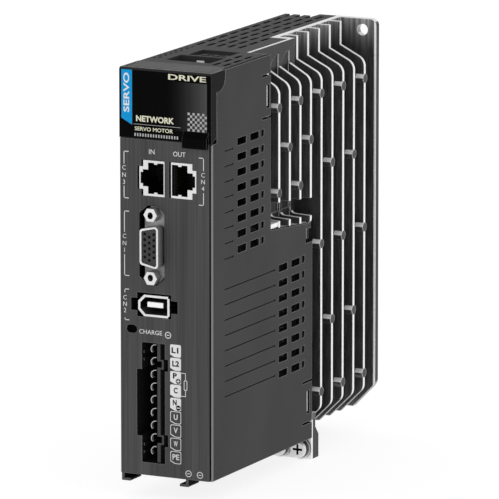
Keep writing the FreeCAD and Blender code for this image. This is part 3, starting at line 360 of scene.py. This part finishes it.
def header_plastic():
    """Power header: dark grey rim, and painted shade inside, a little lighter on its right."""
    tree = surface("header_plastic", 0.05, 0.6, edge=0.16, radius=0.36, **MOULDED)
    inside = (node_front("terminal_header") + SKIN, FAR)
    # Painted shade inside the header, a little lighter right of HEADER_MIDDLE.
    shade_depths(tree, in_box(tree, y=inside))
    recolour(tree, in_box(tree, (HEADER_MIDDLE, FAR), inside), rgb(0.02))
    return tree.material


# Places on the heat sink. X grows outward, from its base to the outer edges of its fins.
FRONT_BASE = 11.4              # X past which the fins' edges carry a painted highlight, in front of the base's step
REAR_BASE = 8.7                # and behind it
UNDER_START = 5.0              # X past which the bevels under the fins carry a painted reflection
STEP_BACK = -58.2              # Y behind the base's step
EDGE_INNER = 18.9              # X past which only outer edges, catches, pads, plate and lug reach
CATCH_OUTER = 19.4
PLATE_OUTER = 19.9
PAD_OUTER = 19.93              # X just inside the round faces of the ejector pads
PLATE_AHEAD = -3.6             # Y just ahead of the rear plate
PLATE_EDGE = (-3.2, -2.7)      # Y of the painted highlight on the edge of the plate
SINK_TOP = 85.0
FIN_BOTTOM = -68.0
LUG_TOP = -68.9


def paint_sink_shade(tree, outward, pads, lug_front):
    """Paints shade on the faces that look outward: walls, pads, and the sides of the lug and the rear plate.
    """
    flat = outside(tree, tree.edge_highlight)
    walls = all_of(tree, flat, outward, in_box(tree, (-FAR, EDGE_INNER)))
    lug_side = all_of(tree, outward, in_box(tree, (19.0, FAR), (lug_front - 1.0, lug_front + 7.0),
                                            (-FAR, LUG_TOP)))
    plate_side = all_of(tree, outward, in_box(tree, (PLATE_OUTER, FAR), (PLATE_EDGE[1], FAR)))
    recolour(tree, any_of(tree, walls, lug_side), rgb(0.035))
    recolour(tree, pads, rgb(0.05))
    recolour(tree, plate_side, rgb(0.025))


def lit_sink_faces(tree, side_on, scratches):
    """Paints a sheen in vertical streaks high on the fins' flanks, and a reflection on the bevels under the
    fins.
    """
    # Painted sheen, strongest at the top.
    high = tree.span(tree.axis("Z"), (SINK_TOP - 14) * MM, SINK_TOP * MM, 0.0, 0.85, smooth=True)
    streaks = tree.span(tree.noise((700, 700, 8)), 0.35, 0.65)
    behind_step = in_box(tree, (-FAR, EDGE_INNER), (STEP_BACK, FAR))
    flanks = any_of(tree, outside(tree, side_on), behind_step)
    recolour(tree, all_of(tree, all_of(tree, streaks, high), flanks), rgb(0.75))
    # Painted reflection on the bevels under the fins.
    under = all_of(tree, side_on, facing(tree, "Z", -PAST_ONE, -0.25), in_box(tree, (UNDER_START, FAR)))
    recolour(tree, all_of(tree, under, tree.span(scratches, 0.3, 0.7, 0.35, 0.75)), rgb(0.5))


def paint_sink_highlights(tree, outward, side_on, pads, lug_front):
    """1 where highlights are painted: fin edges, pad rods, catches, the top, and the edges of the plate and
    lug.
    """
    front_fins = in_box(tree, (FRONT_BASE, FAR), (-FAR, PLATE_AHEAD), (FIN_BOTTOM, FAR))
    rear_fins = in_box(tree, (REAR_BASE, FAR), (STEP_BACK, PLATE_AHEAD), (FIN_BOTTOM, FAR))
    off_base = any_of(tree, front_fins, rear_fins)
    recessed = all_of(tree, outward, in_box(tree, (FRONT_BASE, EDGE_INNER), z=(-FAR, SINK_TOP - 11)))
    lug_root = in_box(tree, y=(lug_front - 0.5, lug_front + 4.0), z=(-FAR, -60))
    fins = all_of(tree, side_on, facing(tree, "Z", -0.4), off_base, outside(tree, recessed),
                  outside(tree, pads), outside(tree, lug_root))
    rods = all_of(tree, facing(tree, "Z", 0.1), off_base)
    catches = all_of(tree, outward, in_box(tree, (EDGE_INNER, CATCH_OUTER)))
    top = all_of(tree, facing(tree, "Z", 0.6), in_box(tree, z=(SINK_TOP - 15, FAR)))
    lug = all_of(tree, facing(tree, "Y", -PAST_ONE, -0.8),
                 in_box(tree, y=(lug_front - 0.5, lug_front + 0.5), z=(-FAR, FIN_BOTTOM)))
    lug_edge = in_box(tree, (EDGE_INNER, FAR), (lug_front - 0.5, lug_front + 1.3), (-FAR, LUG_TOP))
    plate_edge = in_box(tree, (19.2, FAR), PLATE_EDGE, (FIN_BOTTOM + 2, FAR))
    return any_of(tree, fins, rods, catches, top, lug, lug_edge, plate_edge)


def cast_aluminium():
    """Heat sink: a dark casting with painted shade on outward walls, a painted sheen and reflection on the
    fins, and painted highlights on edges and tops.
    """
    tree = surface("cast_aluminium", 0.12, 0.42, grain=(1400, 1400, 120), contrast=0.3, depth=0.02,
                   mottle=0.2, edge=0.85, radius=0.42)
    lug_front = node_front("pe_washers") + 1.0
    scratches = tree.noise((60, 60, 2500), detail=4.0)
    outward = facing(tree, "X", 0.85)
    side_on = facing(tree, "Y", -0.35, 0.35)
    pads = all_of(tree, outside(tree, tree.edge_highlight), outward, in_box(tree, (PAD_OUTER, FAR)))
    paint_sink_shade(tree, outward, pads, lug_front)
    lit_sink_faces(tree, side_on, scratches)
    bright = paint_sink_highlights(tree, outward, side_on, pads, lug_front)
    # Painted highlights, near white, and less metallic there so that they stay white.
    recolour(tree, bright, tree.mix(tree.span(scratches, 0.3, 0.7), rgb(0.92), rgb(1.0)))
    tree.feed(tree.shader.inputs["Metallic"], tree.span(bright, 0.0, 1.0, 0.8, 0.1))
    return tree.material


GRIP_DEPTH = 1.8               # how far the display cover's finger grip stands out from its face
WINDOW = dict(x=(-14.2, 18.1), z=(61.6, 80.9))
GREY_FROM, GREY_TO = 0.0, 18.2     # X where the window's painted reflection starts, and where it is greyest
EAR_START = 2.8                # from the cover's face to its ears
EAR_SIDE = 19.4                # X just inside the right ear's outer face
EAR_TOP = 84.6


def smoked_plastic():
    """Display cover: black and glossy, with a painted reflection that greys its clear window towards the
    right, painted highlights along its edges, brighter on its ear, and a grey top.
    """
    tree = Tree("smoked_plastic")
    haze = tree.noise((500, 60, 14), detail=3.0)
    face = node_front("display_cover") + GRIP_DEPTH
    # Painted reflection: the window greys towards its right.
    across = tree.span(tree.axis("X"), GREY_FROM * MM, GREY_TO * MM)
    across = tree.math("MULTIPLY", across, across)
    window = in_box(tree, y=(face - 0.1, face + 0.1), **WINDOW)
    shade = all_of(tree, across, window, tree.span(haze, 0.3, 0.7, 0.8, 1.0))
    black = tree.mix(haze, rgb(0.0004), rgb(0.0016))
    tree.feed(tree.shader.inputs["Base Color"], tree.mix(shade, black, rgb(0.075)))
    # Painted highlights along the edges, brighter on the right ear's edges.
    recolour(tree, tree.edges(0.36), rgb(0.09))
    ear = in_box(tree, (EAR_SIDE, FAR), (face + EAR_START, FAR), (-FAR, EAR_TOP))
    recolour(tree, all_of(tree, ear, tree.edge_highlight), rgb(0.3))
    top = all_of(tree, facing(tree, "Z", 0.6), in_box(tree, z=(84, FAR)))
    recolour(tree, top, rgb(0.028))
    tree.feed(tree.shader.inputs["Roughness"], tree.span(haze, 0.3, 0.7, 0.2, 0.32))
    tree.shader.inputs["Specular IOR Level"].default_value = 0.03
    tree.bump(haze, 0.004 * MM)
    return tree.material


FACE_DEPTH = 0.25              # how far behind its front face a plated piece stays free of painted shade
FLANGE_DEPTH = 5.0             # from the D connector's rim to its flange
BLADE_DEPTH = 1.4              # of the lit part of a terminal contact
JACKSCREW_BORE = 1.17          # radius
TONGUE_GAP = 0.5               # from the encoder's tongue down to the lit floor of its socket
MASK_ROOM = 0.1                # how far a mask reaches past the face it covers
RECESS_RADIUS = 2.6            # of the painted shade in the recess of an earth screw's head
RECESS_DEPTH = 0.2


def plated(name, colour, node, fade, side, deep):
    """Plated metal: bright on a node's front face, and behind it painted shade that darkens from side to
    deep over a fade's length.
    """
    tree = surface(name, colour, 0.3, edge=1.0, radius=0.08, **PLATED)
    y = tree.axis("Y")
    face_end = (node_front(node) + FACE_DEPTH) * MM
    behind = tree.math("GREATER_THAN", y, face_end)
    depth = tree.span(y, face_end, (node_front(node) + fade) * MM)
    recolour(tree, behind, tree.mix(depth, rgb(side), rgb(deep)))
    return tree


def jack_metal():
    """Network jack shells: bright faces, and painted shade inside."""
    return plated("jack_shell", 0.86, "rj45_in_shell", 0.8, 0.05, 0.006).material


def io_shell_metal():
    """D connector shell: bright rim, painted shade on its sides that deepens towards the flange, and a
    painted reflection of cloudy dark grey on the flange.
    """
    tree = plated("plated_shell", 0.95, "io_shell", FLANGE_DEPTH, 0.4, 0.06)
    flange = in_box(tree, y=(node_front("io_shell") + FLANGE_DEPTH, FAR))
    cloud = tree.noise((160, 160, 160), detail=3.0)
    # Painted reflection on the flange, in cloudy dark grey.
    recolour(tree, flange, tree.mix(tree.span(cloud, 0.35, 0.65), rgb(0.14), rgb(0.4)))
    return tree.material


def jackscrew_metal():
    """Nickel standoffs: bright faces, and painted shade on their sides and in their bores."""
    tree = plated("nickel_hardware", 0.97, "io_jackscrews", 4.0, 0.35, 0.15)
    low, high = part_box("io_jackscrews")
    half = (high.x - low.x) / 2 / MM
    for z in (low.z / MM + half, high.z / MM - half):
        shade_depths(tree, near_axis(tree, node_middle("io_jackscrews").x, z, JACKSCREW_BORE))
    return tree.material


def encoder_metal():
    """Encoder socket: bright rim, and painted shade inside, lighter on its floor."""
    tree = plated("encoder_steel", 0.97, "encoder_shell", 1.2, 0.06, 0.008)
    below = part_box("encoder_tongue")[0].z / MM
    # Lighter painted shade on the floor below the tongue.
    floor = all_of(tree, facing(tree, "Z", 0.7), in_box(tree, z=(-FAR, below - TONGUE_GAP)))
    recolour(tree, floor, rgb(0.09))
    return tree.material


def connector_plastic():
    """Connector mouldings: dark, except for the encoder tongue's white face."""
    tree = surface("connector_plastic", 0.04, 0.55, edge=0.07, **MOULDED)
    low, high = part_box("encoder_tongue")
    face = in_box(tree, (low.x / MM - MASK_ROOM, high.x / MM + MASK_ROOM),
                  (low.y / MM - MASK_ROOM, low.y / MM + 2 * MASK_ROOM),
                  (low.z / MM - MASK_ROOM, high.z / MM + MASK_ROOM))
    recolour(tree, face, rgb(0.95))
    return tree.material


def terminal_metal():
    """Tinned contacts: painted shade on all but their front blades."""
    tree = surface("tin_contact", 0.6, 0.3, edge=0.9, radius=0.06, **PLATED)
    shade_depths(tree, in_box(tree, y=(node_front("terminal_contacts") + BLADE_DEPTH, FAR)))
    return tree.material


def earth_hardware(name, node, spacing):
    """Bright steel, with painted shade on its sides and in the recess or hole in the middle of each piece.
    """
    tree = surface(name, 0.9, 0.32, edge=1.0, radius=0.12, **PLATED)
    # Painted shade on the sides.
    recolour(tree, facing(tree, "Y", -0.5, 0.5), rgb(0.01))
    middle = node_middle(node)
    # Painted shade in each piece's recess or hole.
    deep = in_box(tree, y=(node_front(node) + RECESS_DEPTH, FAR))
    for x in (middle.x - spacing / 2, middle.x + spacing / 2):
        recolour(tree, all_of(tree, near_axis(tree, x, middle.z, RECESS_RADIUS), deep), DEPTH_SHADE)
    return tree.material


def make_materials():
    """The material of each slot in the record."""
    # In each plain finish, the colour after the roughness is its painted edge highlight.
    def plain(name, colour, rough, edge, **finish):
        return surface(name, colour, rough, edge=edge, **finish).material

    paint = dict(contrast=0.1, depth=0.004, specular=0.35)
    inlay_paint = dict(paint, specular=0.1)
    low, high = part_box("pe_screws")
    spacing = (high.x - low.x - (high.z - low.z)) / MM
    return {
        "panel_plastic": panel_plastic(),
        "shell_plastic": shell_plastic(),
        "side_plastic": side_plastic(),
        "cast_aluminium": cast_aluminium(),
        "smoked_plastic": smoked_plastic(),
        "blue_inlay": plain("blue_inlay", (0.001, 0.26, 0.58), 0.5, (0.01, 0.32, 0.66), **inlay_paint),
        "bezel_plastic": plain("bezel_plastic", 0.03, 0.5, 0.06, **MOULDED),
        "key_plastic": plain("key_plastic", 0.42, 0.45, 0.55, **MOULDED),
        "switch_plastic": plain("switch_plastic", 0.02, 0.6, 0.05, **MOULDED),
        "display_plastic": plain("display_plastic", 0.012, 0.5, 0.03, **MOULDED),
        "segment_plastic": plain("segment_plastic", (0.45, 0.03, 0.02), 0.3, (0.55, 0.05, 0.03), **paint),
        "green_board": plain("green_board", (0.006, 0.035, 0.015), 0.45, (0.02, 0.06, 0.03), **paint),
        "jack_shell": jack_metal(),
        "jack_insert": plain("jack_insert", 0.004, 0.7, 0.012, **MOULDED),
        "gold_contact": plain("gold_contact", (0.014, 0.01, 0.005), 0.4, (0.1, 0.08, 0.04), **PLATED),
        "plated_shell": io_shell_metal(),
        "connector_plastic": connector_plastic(),
        "nickel_hardware": jackscrew_metal(),
        "encoder_steel": encoder_metal(),
        "lamp_lens": plain("lamp_lens", 0.0008, 0.35, 0.004, contrast=0.1, depth=0.004, specular=0.02),
        "header_plastic": header_plastic(),
        "tin_contact": terminal_metal(),
        "white_plastic": plain("white_plastic", 0.85, 0.5, 0.95, **MOULDED),
        "screw_steel": earth_hardware("screw_steel", "pe_screws", spacing),
        "washer_steel": earth_hardware("washer_steel", "pe_washers", spacing),
        "chip_plastic": plain("chip_plastic", 0.02, 0.5, 0.05, **MOULDED),
        "pillar_brass": plain("pillar_brass", (0.7, 0.55, 0.25), 0.35, (0.85, 0.7, 0.4), **PLATED),
        "pad_rubber": plain("pad_rubber", (0.5, 0.54, 0.6), 0.8, (0.55, 0.6, 0.65), **MOULDED),
        "capacitor_sleeve": plain("capacitor_sleeve", (0.01, 0.01, 0.025), 0.4, (0.03, 0.03, 0.05), **paint),
        "relay_plastic": plain("relay_plastic", (0.02, 0.02, 0.03), 0.4, 0.06, **MOULDED),
        "transformer_plastic": plain("transformer_plastic", (0.26, 0.18, 0.03), 0.5, (0.36, 0.26, 0.06),
                                     **MOULDED),
        "choke_paint": plain("choke_paint", (0.05, 0.16, 0.08), 0.4, (0.1, 0.22, 0.12), **paint),
        "film_plastic": plain("film_plastic", (0.3, 0.23, 0.03), 0.5, (0.4, 0.32, 0.06), **MOULDED),
    }


# ---- Rounded edges on the CAD nodes -------------------------------------------------------------------
EDGE_WIDTH = {
    "front_frame": 0.18, "housing": 0.2, "side_cover": 0.0, "heat_sink": 0.22, "display_cover": 0.22,
    "pe_screws": 0.1, "io_jackscrews": 0.12, "io_shell": 0.12, "rj45_in_shell": 0.1, "rj45_out_shell": 0.1,
    "encoder_shell": 0.14, "terminal_header": 0.12, "bus_capacitors": 0.2,
}
SMALL_EDGE = 0.06              # millimetres, as are the widths above
WELD_REACH = 0.002 * MM
SHARP_ANGLE = math.radians(35)


def soften(node, width):
    """Joins a node's faces at their shared corners, then rounds its sharp edges, unless the width is 0."""
    obj = frame["nodes"][node]
    weld = obj.modifiers.new("weld", "WELD")
    weld.merge_threshold = WELD_REACH
    if not width:
        return
    bevel = obj.modifiers.new("bevel", "BEVEL")
    bevel.width = width * MM
    bevel.segments = 2
    bevel.limit_method = "ANGLE"
    bevel.angle_limit = SHARP_ANGLE
    bevel.use_clamp_overlap = True
    bevel.miter_outer = "MITER_ARC"
    smooth = obj.modifiers.new("smooth", "WEIGHTED_NORMAL")
    smooth.keep_sharp = True


def dress_nodes(materials):
    """Gives every CAD node its material and its rounded edges."""
    slots = {part["node"]: part["material_slot"] for part in frame["record"]["subparts"]}
    for node, obj in frame["nodes"].items():
        obj.data.materials.clear()
        obj.data.materials.append(materials[slots[node]])
        soften(node, EDGE_WIDTH.get(node, SMALL_EDGE))


# ---- Printed marks: places in millimetres, but for y --------------------------------------------------
PRINT_THICK = 0.03 * MM
CAPITAL_SHARE = 0.7            # a capital's height as a share of the font size


def printed(name, outlines, body, y, material):
    """Flat closed outlines in the XZ plane, raised a little from the plane y, as one piece."""
    mesh = bpy.data.meshes.new(name)
    sheet = bmesh.new()
    for outline in outlines:
        sheet.faces.new([sheet.verts.new((x * MM, y, z * MM)) for x, z in outline])
    sheet.normal_update()
    for face in sheet.faces:
        if face.normal.y > 0:
            face.normal_flip()
    raised = bmesh.ops.extrude_face_region(sheet, geom=list(sheet.faces))
    for vertex in (v for v in raised["geom"] if isinstance(v, bmesh.types.BMVert)):
        vertex.co.y -= PRINT_THICK
    bmesh.ops.recalc_face_normals(sheet, faces=list(sheet.faces))
    sheet.to_mesh(mesh)
    sheet.free()
    return placed(name, mesh, body, material)


def placed(name, mesh, body, material):
    """A mesh as a piece with its material, that rides on a body."""
    mesh.materials.append(material)
    piece = bpy.data.objects.new(name, mesh)
    bpy.context.scene.collection.objects.link(piece)
    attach(piece, body)
    return piece


Word = namedtuple("Word", "text x z height width turn weight", defaults=(None, 0.0, 0.0))


def lettering(name, words, body, y, material):
    """Raised lettering. A word has its centre, its capitals' height, its overall width and its turn in
    degrees. Its weight is the thickening of its strokes, as a share of its height."""
    whole = bmesh.new()
    for word in words:
        curve = bpy.data.curves.new(name, "FONT")
        curve.body = word.text
        curve.align_x = "CENTER"
        curve.align_y = "CENTER"
        curve.size = word.height * MM / CAPITAL_SHARE
        curve.offset = word.weight * word.height * MM
        curve.resolution_u = 3
        curve.extrude = PRINT_THICK / 2
        holder = bpy.data.objects.new(name, curve)
        bpy.context.scene.collection.objects.link(holder)
        bpy.context.view_layer.update()
        evaluated = holder.evaluated_get(bpy.context.evaluated_depsgraph_get())
        mesh = bpy.data.meshes.new_from_object(evaluated)
        if word.width:
            places = [vertex.co.x for vertex in mesh.vertices]
            mesh.transform(Matrix.Diagonal((word.width * MM / (max(places) - min(places)), 1, 1, 1)))
        mesh.transform(Matrix.Rotation(math.radians(word.turn), 4, "Z"))
        mesh.transform(Matrix.Rotation(math.radians(90), 4, "X"))
        mesh.transform(Matrix.Translation((word.x * MM, y - PRINT_THICK / 2, word.z * MM)))
        whole.from_mesh(mesh)
        bpy.data.objects.remove(holder)
        bpy.data.curves.remove(curve)
        bpy.data.meshes.remove(mesh)
    mesh = bpy.data.meshes.new(name)
    whole.to_mesh(mesh)
    whole.free()
    return placed(name, mesh, body, material)


def bar(x0, x1, z0, z1):
    """A rectangle's outline."""
    return [(x0, z0), (x1, z0), (x1, z1), (x0, z1)]


BRACKET_LINE = 0.32


def bracket(x, z0, z1, gap0, gap1, side, tick=2.2):
    """A square bracket with a gap for its label; side is +1 when its ticks point right."""
    inner, outer = sorted((x, x + side * BRACKET_LINE))
    tick_from, tick_to = sorted((x, x + side * tick))
    return [
        bar(inner, outer, z0, gap0), bar(inner, outer, gap1, z1),
        bar(tick_from, tick_to, z0, z0 + BRACKET_LINE), bar(tick_from, tick_to, z1 - BRACKET_LINE, z1),
    ]


CHIP_LEFT, CHIP_RIGHT = 1.95, 6.68
CHIP_PITCH = 5.31
CHIP_HEIGHT = 5.0
CHIP_FIRST_TOP = -22.75
CHIP_RADIUS = 0.55
CHIP_CUT_UP, CHIP_CUT_ALONG = 0.95, 1.995
CHIP_LINE = 0.25               # line width of the labels that are outlines
CORNER_STEPS = 4


def chip_top(row):
    """Z of a terminal label's upper edge."""
    return CHIP_FIRST_TOP - row * CHIP_PITCH


def chip_outline(row, inset):
    """A terminal label's outline: rounded corners, and the lower left one cut at an angle."""
    top = chip_top(row) - inset
    bottom = top - CHIP_HEIGHT + 2 * inset
    left, right = CHIP_LEFT + inset, CHIP_RIGHT - inset
    points = [(left, bottom + CHIP_CUT_UP), (left + CHIP_CUT_ALONG, bottom)]
    r = CHIP_RADIUS
    for cx, cz, start in ((right - r, bottom + r, -90), (right - r, top - r, 0), (left + r, top - r, 90)):
        for step in range(CORNER_STEPS + 1):
            angle = math.radians(start + 90 * step / CORNER_STEPS)
            points.append((cx + r * math.cos(angle), cz + r * math.sin(angle)))
    return points


def framed(outline_outer, outline_inner):
    """A ring between two outlines of equal length, as four-sided pieces."""
    count = len(outline_outer)
    return [
        [outline_outer[k], outline_outer[(k + 1) % count], outline_inner[(k + 1) % count], outline_inner[k]]
        for k in range(count)
    ]


CIRCLE_SIDES = 20


def circle(x, z, radius):
    """A circle's outline."""
    angles = [2 * math.pi * k / CIRCLE_SIDES for k in range(CIRCLE_SIDES)]
    return [(x + radius * math.cos(angle), z + radius * math.sin(angle)) for angle in angles]


def print_ports(light):
    """Brackets and names of the ports, and the rings beside the lamp and at the lower edge."""
    lines = []
    lines += bracket(-18.15, 33.4, 52.1, 38.3, 47.0, 1)
    lines += bracket(-18.05, 2.7, 28.5, 11.2, 20.0, 1)
    lines += bracket(-17.95, -14.9, -2.4, -14.0, -3.9, 1, tick=2.0)
    lines += bracket(16.75, 33.2, 52.0, 38.2, 46.8, -1)
    printed("panel_lines", lines, "drive", PANEL_Y, light)
    words = [Word("IN", -5.85, 52.5, 1.9), Word("OUT", 6.1, 52.45, 1.9, width=5.4),
             Word("CHARGE", -6.6, -18.9, 1.75, width=10.0)]
    for x, centres, number in ((-18.0, (45.4, 42.5, 39.7), "3"), (16.4, (45.1, 42.45, 39.8), "4"),
                               (-17.9, (18.3, 15.5, 12.8), "1"), (-17.75, (-6.0, -8.6, -11.1), "2")):
        words += [Word(letter, x, z, 1.75) for letter, z in zip("CN" + number, centres)]
    lettering("panel_words", words, "drive", PANEL_Y, light)
    ring, hole = 1.35, 1.05
    half_length, half_line = 0.6, 0.15
    marks = []
    for x, z in ((1.05, -19.3), (9.9, -73.6), (14.9, -73.7)):
        marks += framed(circle(x, z, ring), circle(x, z, hole))
        marks.append(bar(x - half_length, x + half_length, z - half_line, z + half_line))
    printed("panel_marks", marks, "drive", PANEL_Y, light)


TERMINALS = ("L1", "L2", "P", "C", "N", "U", "V", "W", "PE")
FILLED = 5                     # the first labels are filled, and the others are outlines


def print_terminals(light, dark):
    """Labels and names of the power terminals."""
    rows = range(len(TERMINALS))
    printed("label_chips", [chip_outline(row, 0.0) for row in rows[:FILLED]], "drive", PANEL_Y, light)
    rings = []
    for row in rows[FILLED:]:
        rings += framed(chip_outline(row, 0.0), chip_outline(row, CHIP_LINE))
    printed("label_frames", rings, "drive", PANEL_Y, light)
    words = []
    for row, text in enumerate(TERMINALS):
        side, up = (-0.4, 0.6) if text in ("P", "N") else (0.0, 0.1)
        x = (CHIP_LEFT + CHIP_RIGHT) / 2 + side
        z = chip_top(row) - CHIP_HEIGHT / 2 + up
        width = 1.7 if len(text) == 1 else 3.0
        weight = 0.05 if row < FILLED else 0.03
        words.append(Word(text, x, z, height=2.1, width=width, weight=weight))
    lettering("chip_words", words[:FILLED], "drive", PANEL_Y - PRINT_THICK, dark)
    lettering("frame_words", words[FILLED:], "drive", PANEL_Y, light)


def print_poles(light, dark):
    """A plus sign on P's label and a minus sign on N's, each on a dark disc."""
    half_line, reach, disc = 0.17, 0.75, 1.05
    discs, bars = [], []
    for text in ("P", "N"):
        x = CHIP_RIGHT - 1.2
        z = chip_top(TERMINALS.index(text)) - CHIP_HEIGHT + 1.15
        discs.append(circle(x, z, disc))
        bars.append(bar(x - reach, x + reach, z - half_line, z + half_line))
        if text == "P":
            bars.append(bar(x - half_line, x + half_line, z + half_line, z + reach))
            bars.append(bar(x - half_line, x + half_line, z - reach, z - half_line))
    printed("pole_discs", discs, "drive", PANEL_Y - PRINT_THICK, dark)
    printed("pole_signs", bars, "drive", PANEL_Y - 2 * PRINT_THICK, light)


def print_resistor(light):
    """The sign of a resistor, wired between the labels of P and C."""
    line = 0.25
    left, right = 6.6, 8.75
    upper, lower = -33.7, -43.1
    upper_end, lower_end = -36.6, -40.6
    wires = [
        bar(left, right, upper - line, upper), bar(right - line, right, upper_end, upper - line),
        bar(left, right, lower, lower + line), bar(right - line, right, lower + line, lower_end),
    ]
    x, z = 8.65, -38.6
    half_flat, half_width, half_side, half_height = 0.3, 0.75, 1.7, 2.1
    shrink_x, shrink_z = 0.65, 0.86
    body = [
        (x - half_width, z + half_side), (x - half_flat, z + half_height), (x + half_flat, z + half_height),
        (x + half_width, z + half_side), (x + half_width, z - half_side), (x + half_flat, z - half_height),
        (x - half_flat, z - half_height), (x - half_width, z - half_side),
    ]
    inner = [(x + (px - x) * shrink_x, z + (pz - z) * shrink_z) for px, pz in body]
    printed("resistor_sign", wires + framed(body, inner), "drive", PANEL_Y, light)


def print_cover(warm, light, faint):
    """The display cover's generic marks, in place of names and codes."""
    lettering("cover_words", [
        Word("DRIVE", 9.4, 82.5, 2.1, width=16.4, weight=0.03),
        Word("NETWORK", -4.6, 65.2, 2.2, width=16.5, weight=0.05),
        Word("SERVO MOTOR", -5.0, 61.2, 1.5, width=16.6, weight=0.02),
    ], "display_cover", PANEL_Y, warm)
    title = Word("SERVO", -16.75, 75.2, 2.4, width=15.5, turn=90.0, weight=0.03)
    lettering("inlay_word", [title], "display_cover", PANEL_Y, light)
    printed("cover_rule", [bar(-13.7, 6.7, 62.95, 63.1)], "display_cover", PANEL_Y, faint)
    tick_pitch, tick_width = 1.15, 0.6
    lefts = [-13.4 + k * tick_pitch for k in range(17)]
    ticks = [bar(left, left + tick_width, 58.3, 59.5) for left in lefts]
    cell, filled = 1.05, 0.92
    for row in range(7):
        for column in range(8):
            if (row + column) % 2 == 0:
                x, z = 9.75 + column * cell, 62.0 + row * cell
                ticks.append(bar(x, x + cell * filled, z, z + cell * filled))
    printed("cover_pattern", ticks, "display_cover", PANEL_Y, faint)


# ---- Stage --------------------------------------------------------------------------------------------
FLOOR_SIZE = 12.0
FLOOR_DROP = 0.2 * MM
FLOOR_GLOW = 0.84

SKY_HEIGHTS = (0.1, 0.9)       # upward parts of the directions between which the surroundings fade
SKY_STRENGTHS = (1.05, 0.58)   # strengths there
KEY_PLACE = Vector((0.5, -1.7, 0.35))
KEY_SIZE = 0.9
KEY_WATTS = 1.5

AZIMUTH, ELEVATION = math.radians(26.543), math.radians(11.094)
DISTANCE = 2.76746
LENS, SENSOR = 502.1, 36.0     # millimetres
AIM_RIGHT, AIM_UP = -0.9203 * MM, 1.3989 * MM
CLIP = (0.1, 30.0)


def add_stage():
    """Pale floor that reaches past the frame, and glows a little so that the shadows stay soft."""
    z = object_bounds()[0].z
    bpy.ops.mesh.primitive_plane_add(size=FLOOR_SIZE, location=(0, 0, z - FLOOR_DROP))
    floor = bpy.context.object
    floor.name = "floor"
    tree = Tree("floor_paint")
    cloud = tree.noise((3, 3, 3))
    tree.feed(tree.shader.inputs["Base Color"], tree.mix(cloud, rgb(0.26), rgb(0.28)))
    tree.shader.inputs["Roughness"].default_value = 0.9
    tree.shader.inputs["Specular IOR Level"].default_value = 0.0
    tree.shader.inputs["Emission Color"].default_value = rgb(1.0)
    tree.shader.inputs["Emission Strength"].default_value = FLOOR_GLOW
    floor.data.materials.append(tree.material)


def add_world():
    """Soft white surroundings, a little darker overhead."""
    world = bpy.data.worlds.new("studio")
    world.use_nodes = True
    nodes, links = world.node_tree.nodes, world.node_tree.links
    nodes["Background"].inputs["Color"].default_value = rgb(1.0)
    split = nodes.new("ShaderNodeSeparateXYZ")
    links.new(nodes.new("ShaderNodeTexCoord").outputs["Generated"], split.inputs["Vector"])
    fade = nodes.new("ShaderNodeMapRange")
    for socket, number in zip(RANGE_SOCKETS, SKY_HEIGHTS + SKY_STRENGTHS):
        fade.inputs[socket].default_value = number
    links.new(split.outputs["Z"], fade.inputs["Value"])
    links.new(fade.outputs["Result"], nodes["Background"].inputs["Strength"])
    bpy.context.scene.world = world


def add_light():
    """A weak square lamp in front, aimed at the middle of the drive."""
    lamp = bpy.data.lights.new("key", "AREA")
    lamp.shape = "SQUARE"
    lamp.size = KEY_SIZE
    lamp.energy = KEY_WATTS
    holder = bpy.data.objects.new("key", lamp)
    holder.location = KEY_PLACE
    holder.rotation_euler = (MIDDLE - KEY_PLACE).to_track_quat("-Z", "Y").to_euler()
    bpy.context.scene.collection.objects.link(holder)


def add_camera():
    """Long lens from the front right, a little above the middle."""
    back = Vector((math.sin(AZIMUTH) * math.cos(ELEVATION), -math.cos(AZIMUTH) * math.cos(ELEVATION),
                   math.sin(ELEVATION)))
    right = Vector((math.cos(AZIMUTH), math.sin(AZIMUTH), 0.0))
    up = back.cross(right)
    lens = bpy.data.cameras.new("camera")
    lens.lens = LENS
    lens.sensor_width = SENSOR
    lens.clip_start, lens.clip_end = CLIP
    camera = bpy.data.objects.new("camera", lens)
    camera.location = MIDDLE + AIM_RIGHT * right + AIM_UP * up + back * DISTANCE
    camera.rotation_mode = "QUATERNION"
    camera.rotation_quaternion = (-back).to_track_quat("-Z", "Y")
    bpy.context.scene.collection.objects.link(camera)
    bpy.context.scene.camera = camera


# ---- Build --------------------------------------------------------------------------------------------
def main():
    """Dresses the drive, prints its marks and sets the stage."""
    materials = make_materials()
    dress_nodes(materials)
    ink = dict(grain=(2500, 2500, 2500), contrast=0.1, depth=0.002, specular=0.1)
    light = surface("light_print", 0.7, 0.6, **ink).material
    warm = surface("warm_print", (0.72, 0.7, 0.52), 0.6, **ink).material
    faint = surface("faint_print", 0.4, 0.6, **ink).material
    dark = surface("dark_print", 0.004, 0.7, **ink).material
    print_ports(light)
    print_terminals(light, dark)
    print_poles(light, dark)
    print_resistor(light)
    print_cover(warm, light, faint)
    add_stage()
    add_world()
    add_light()
    add_camera()
    bpy.context.scene.view_settings.view_transform = "Standard"


main()
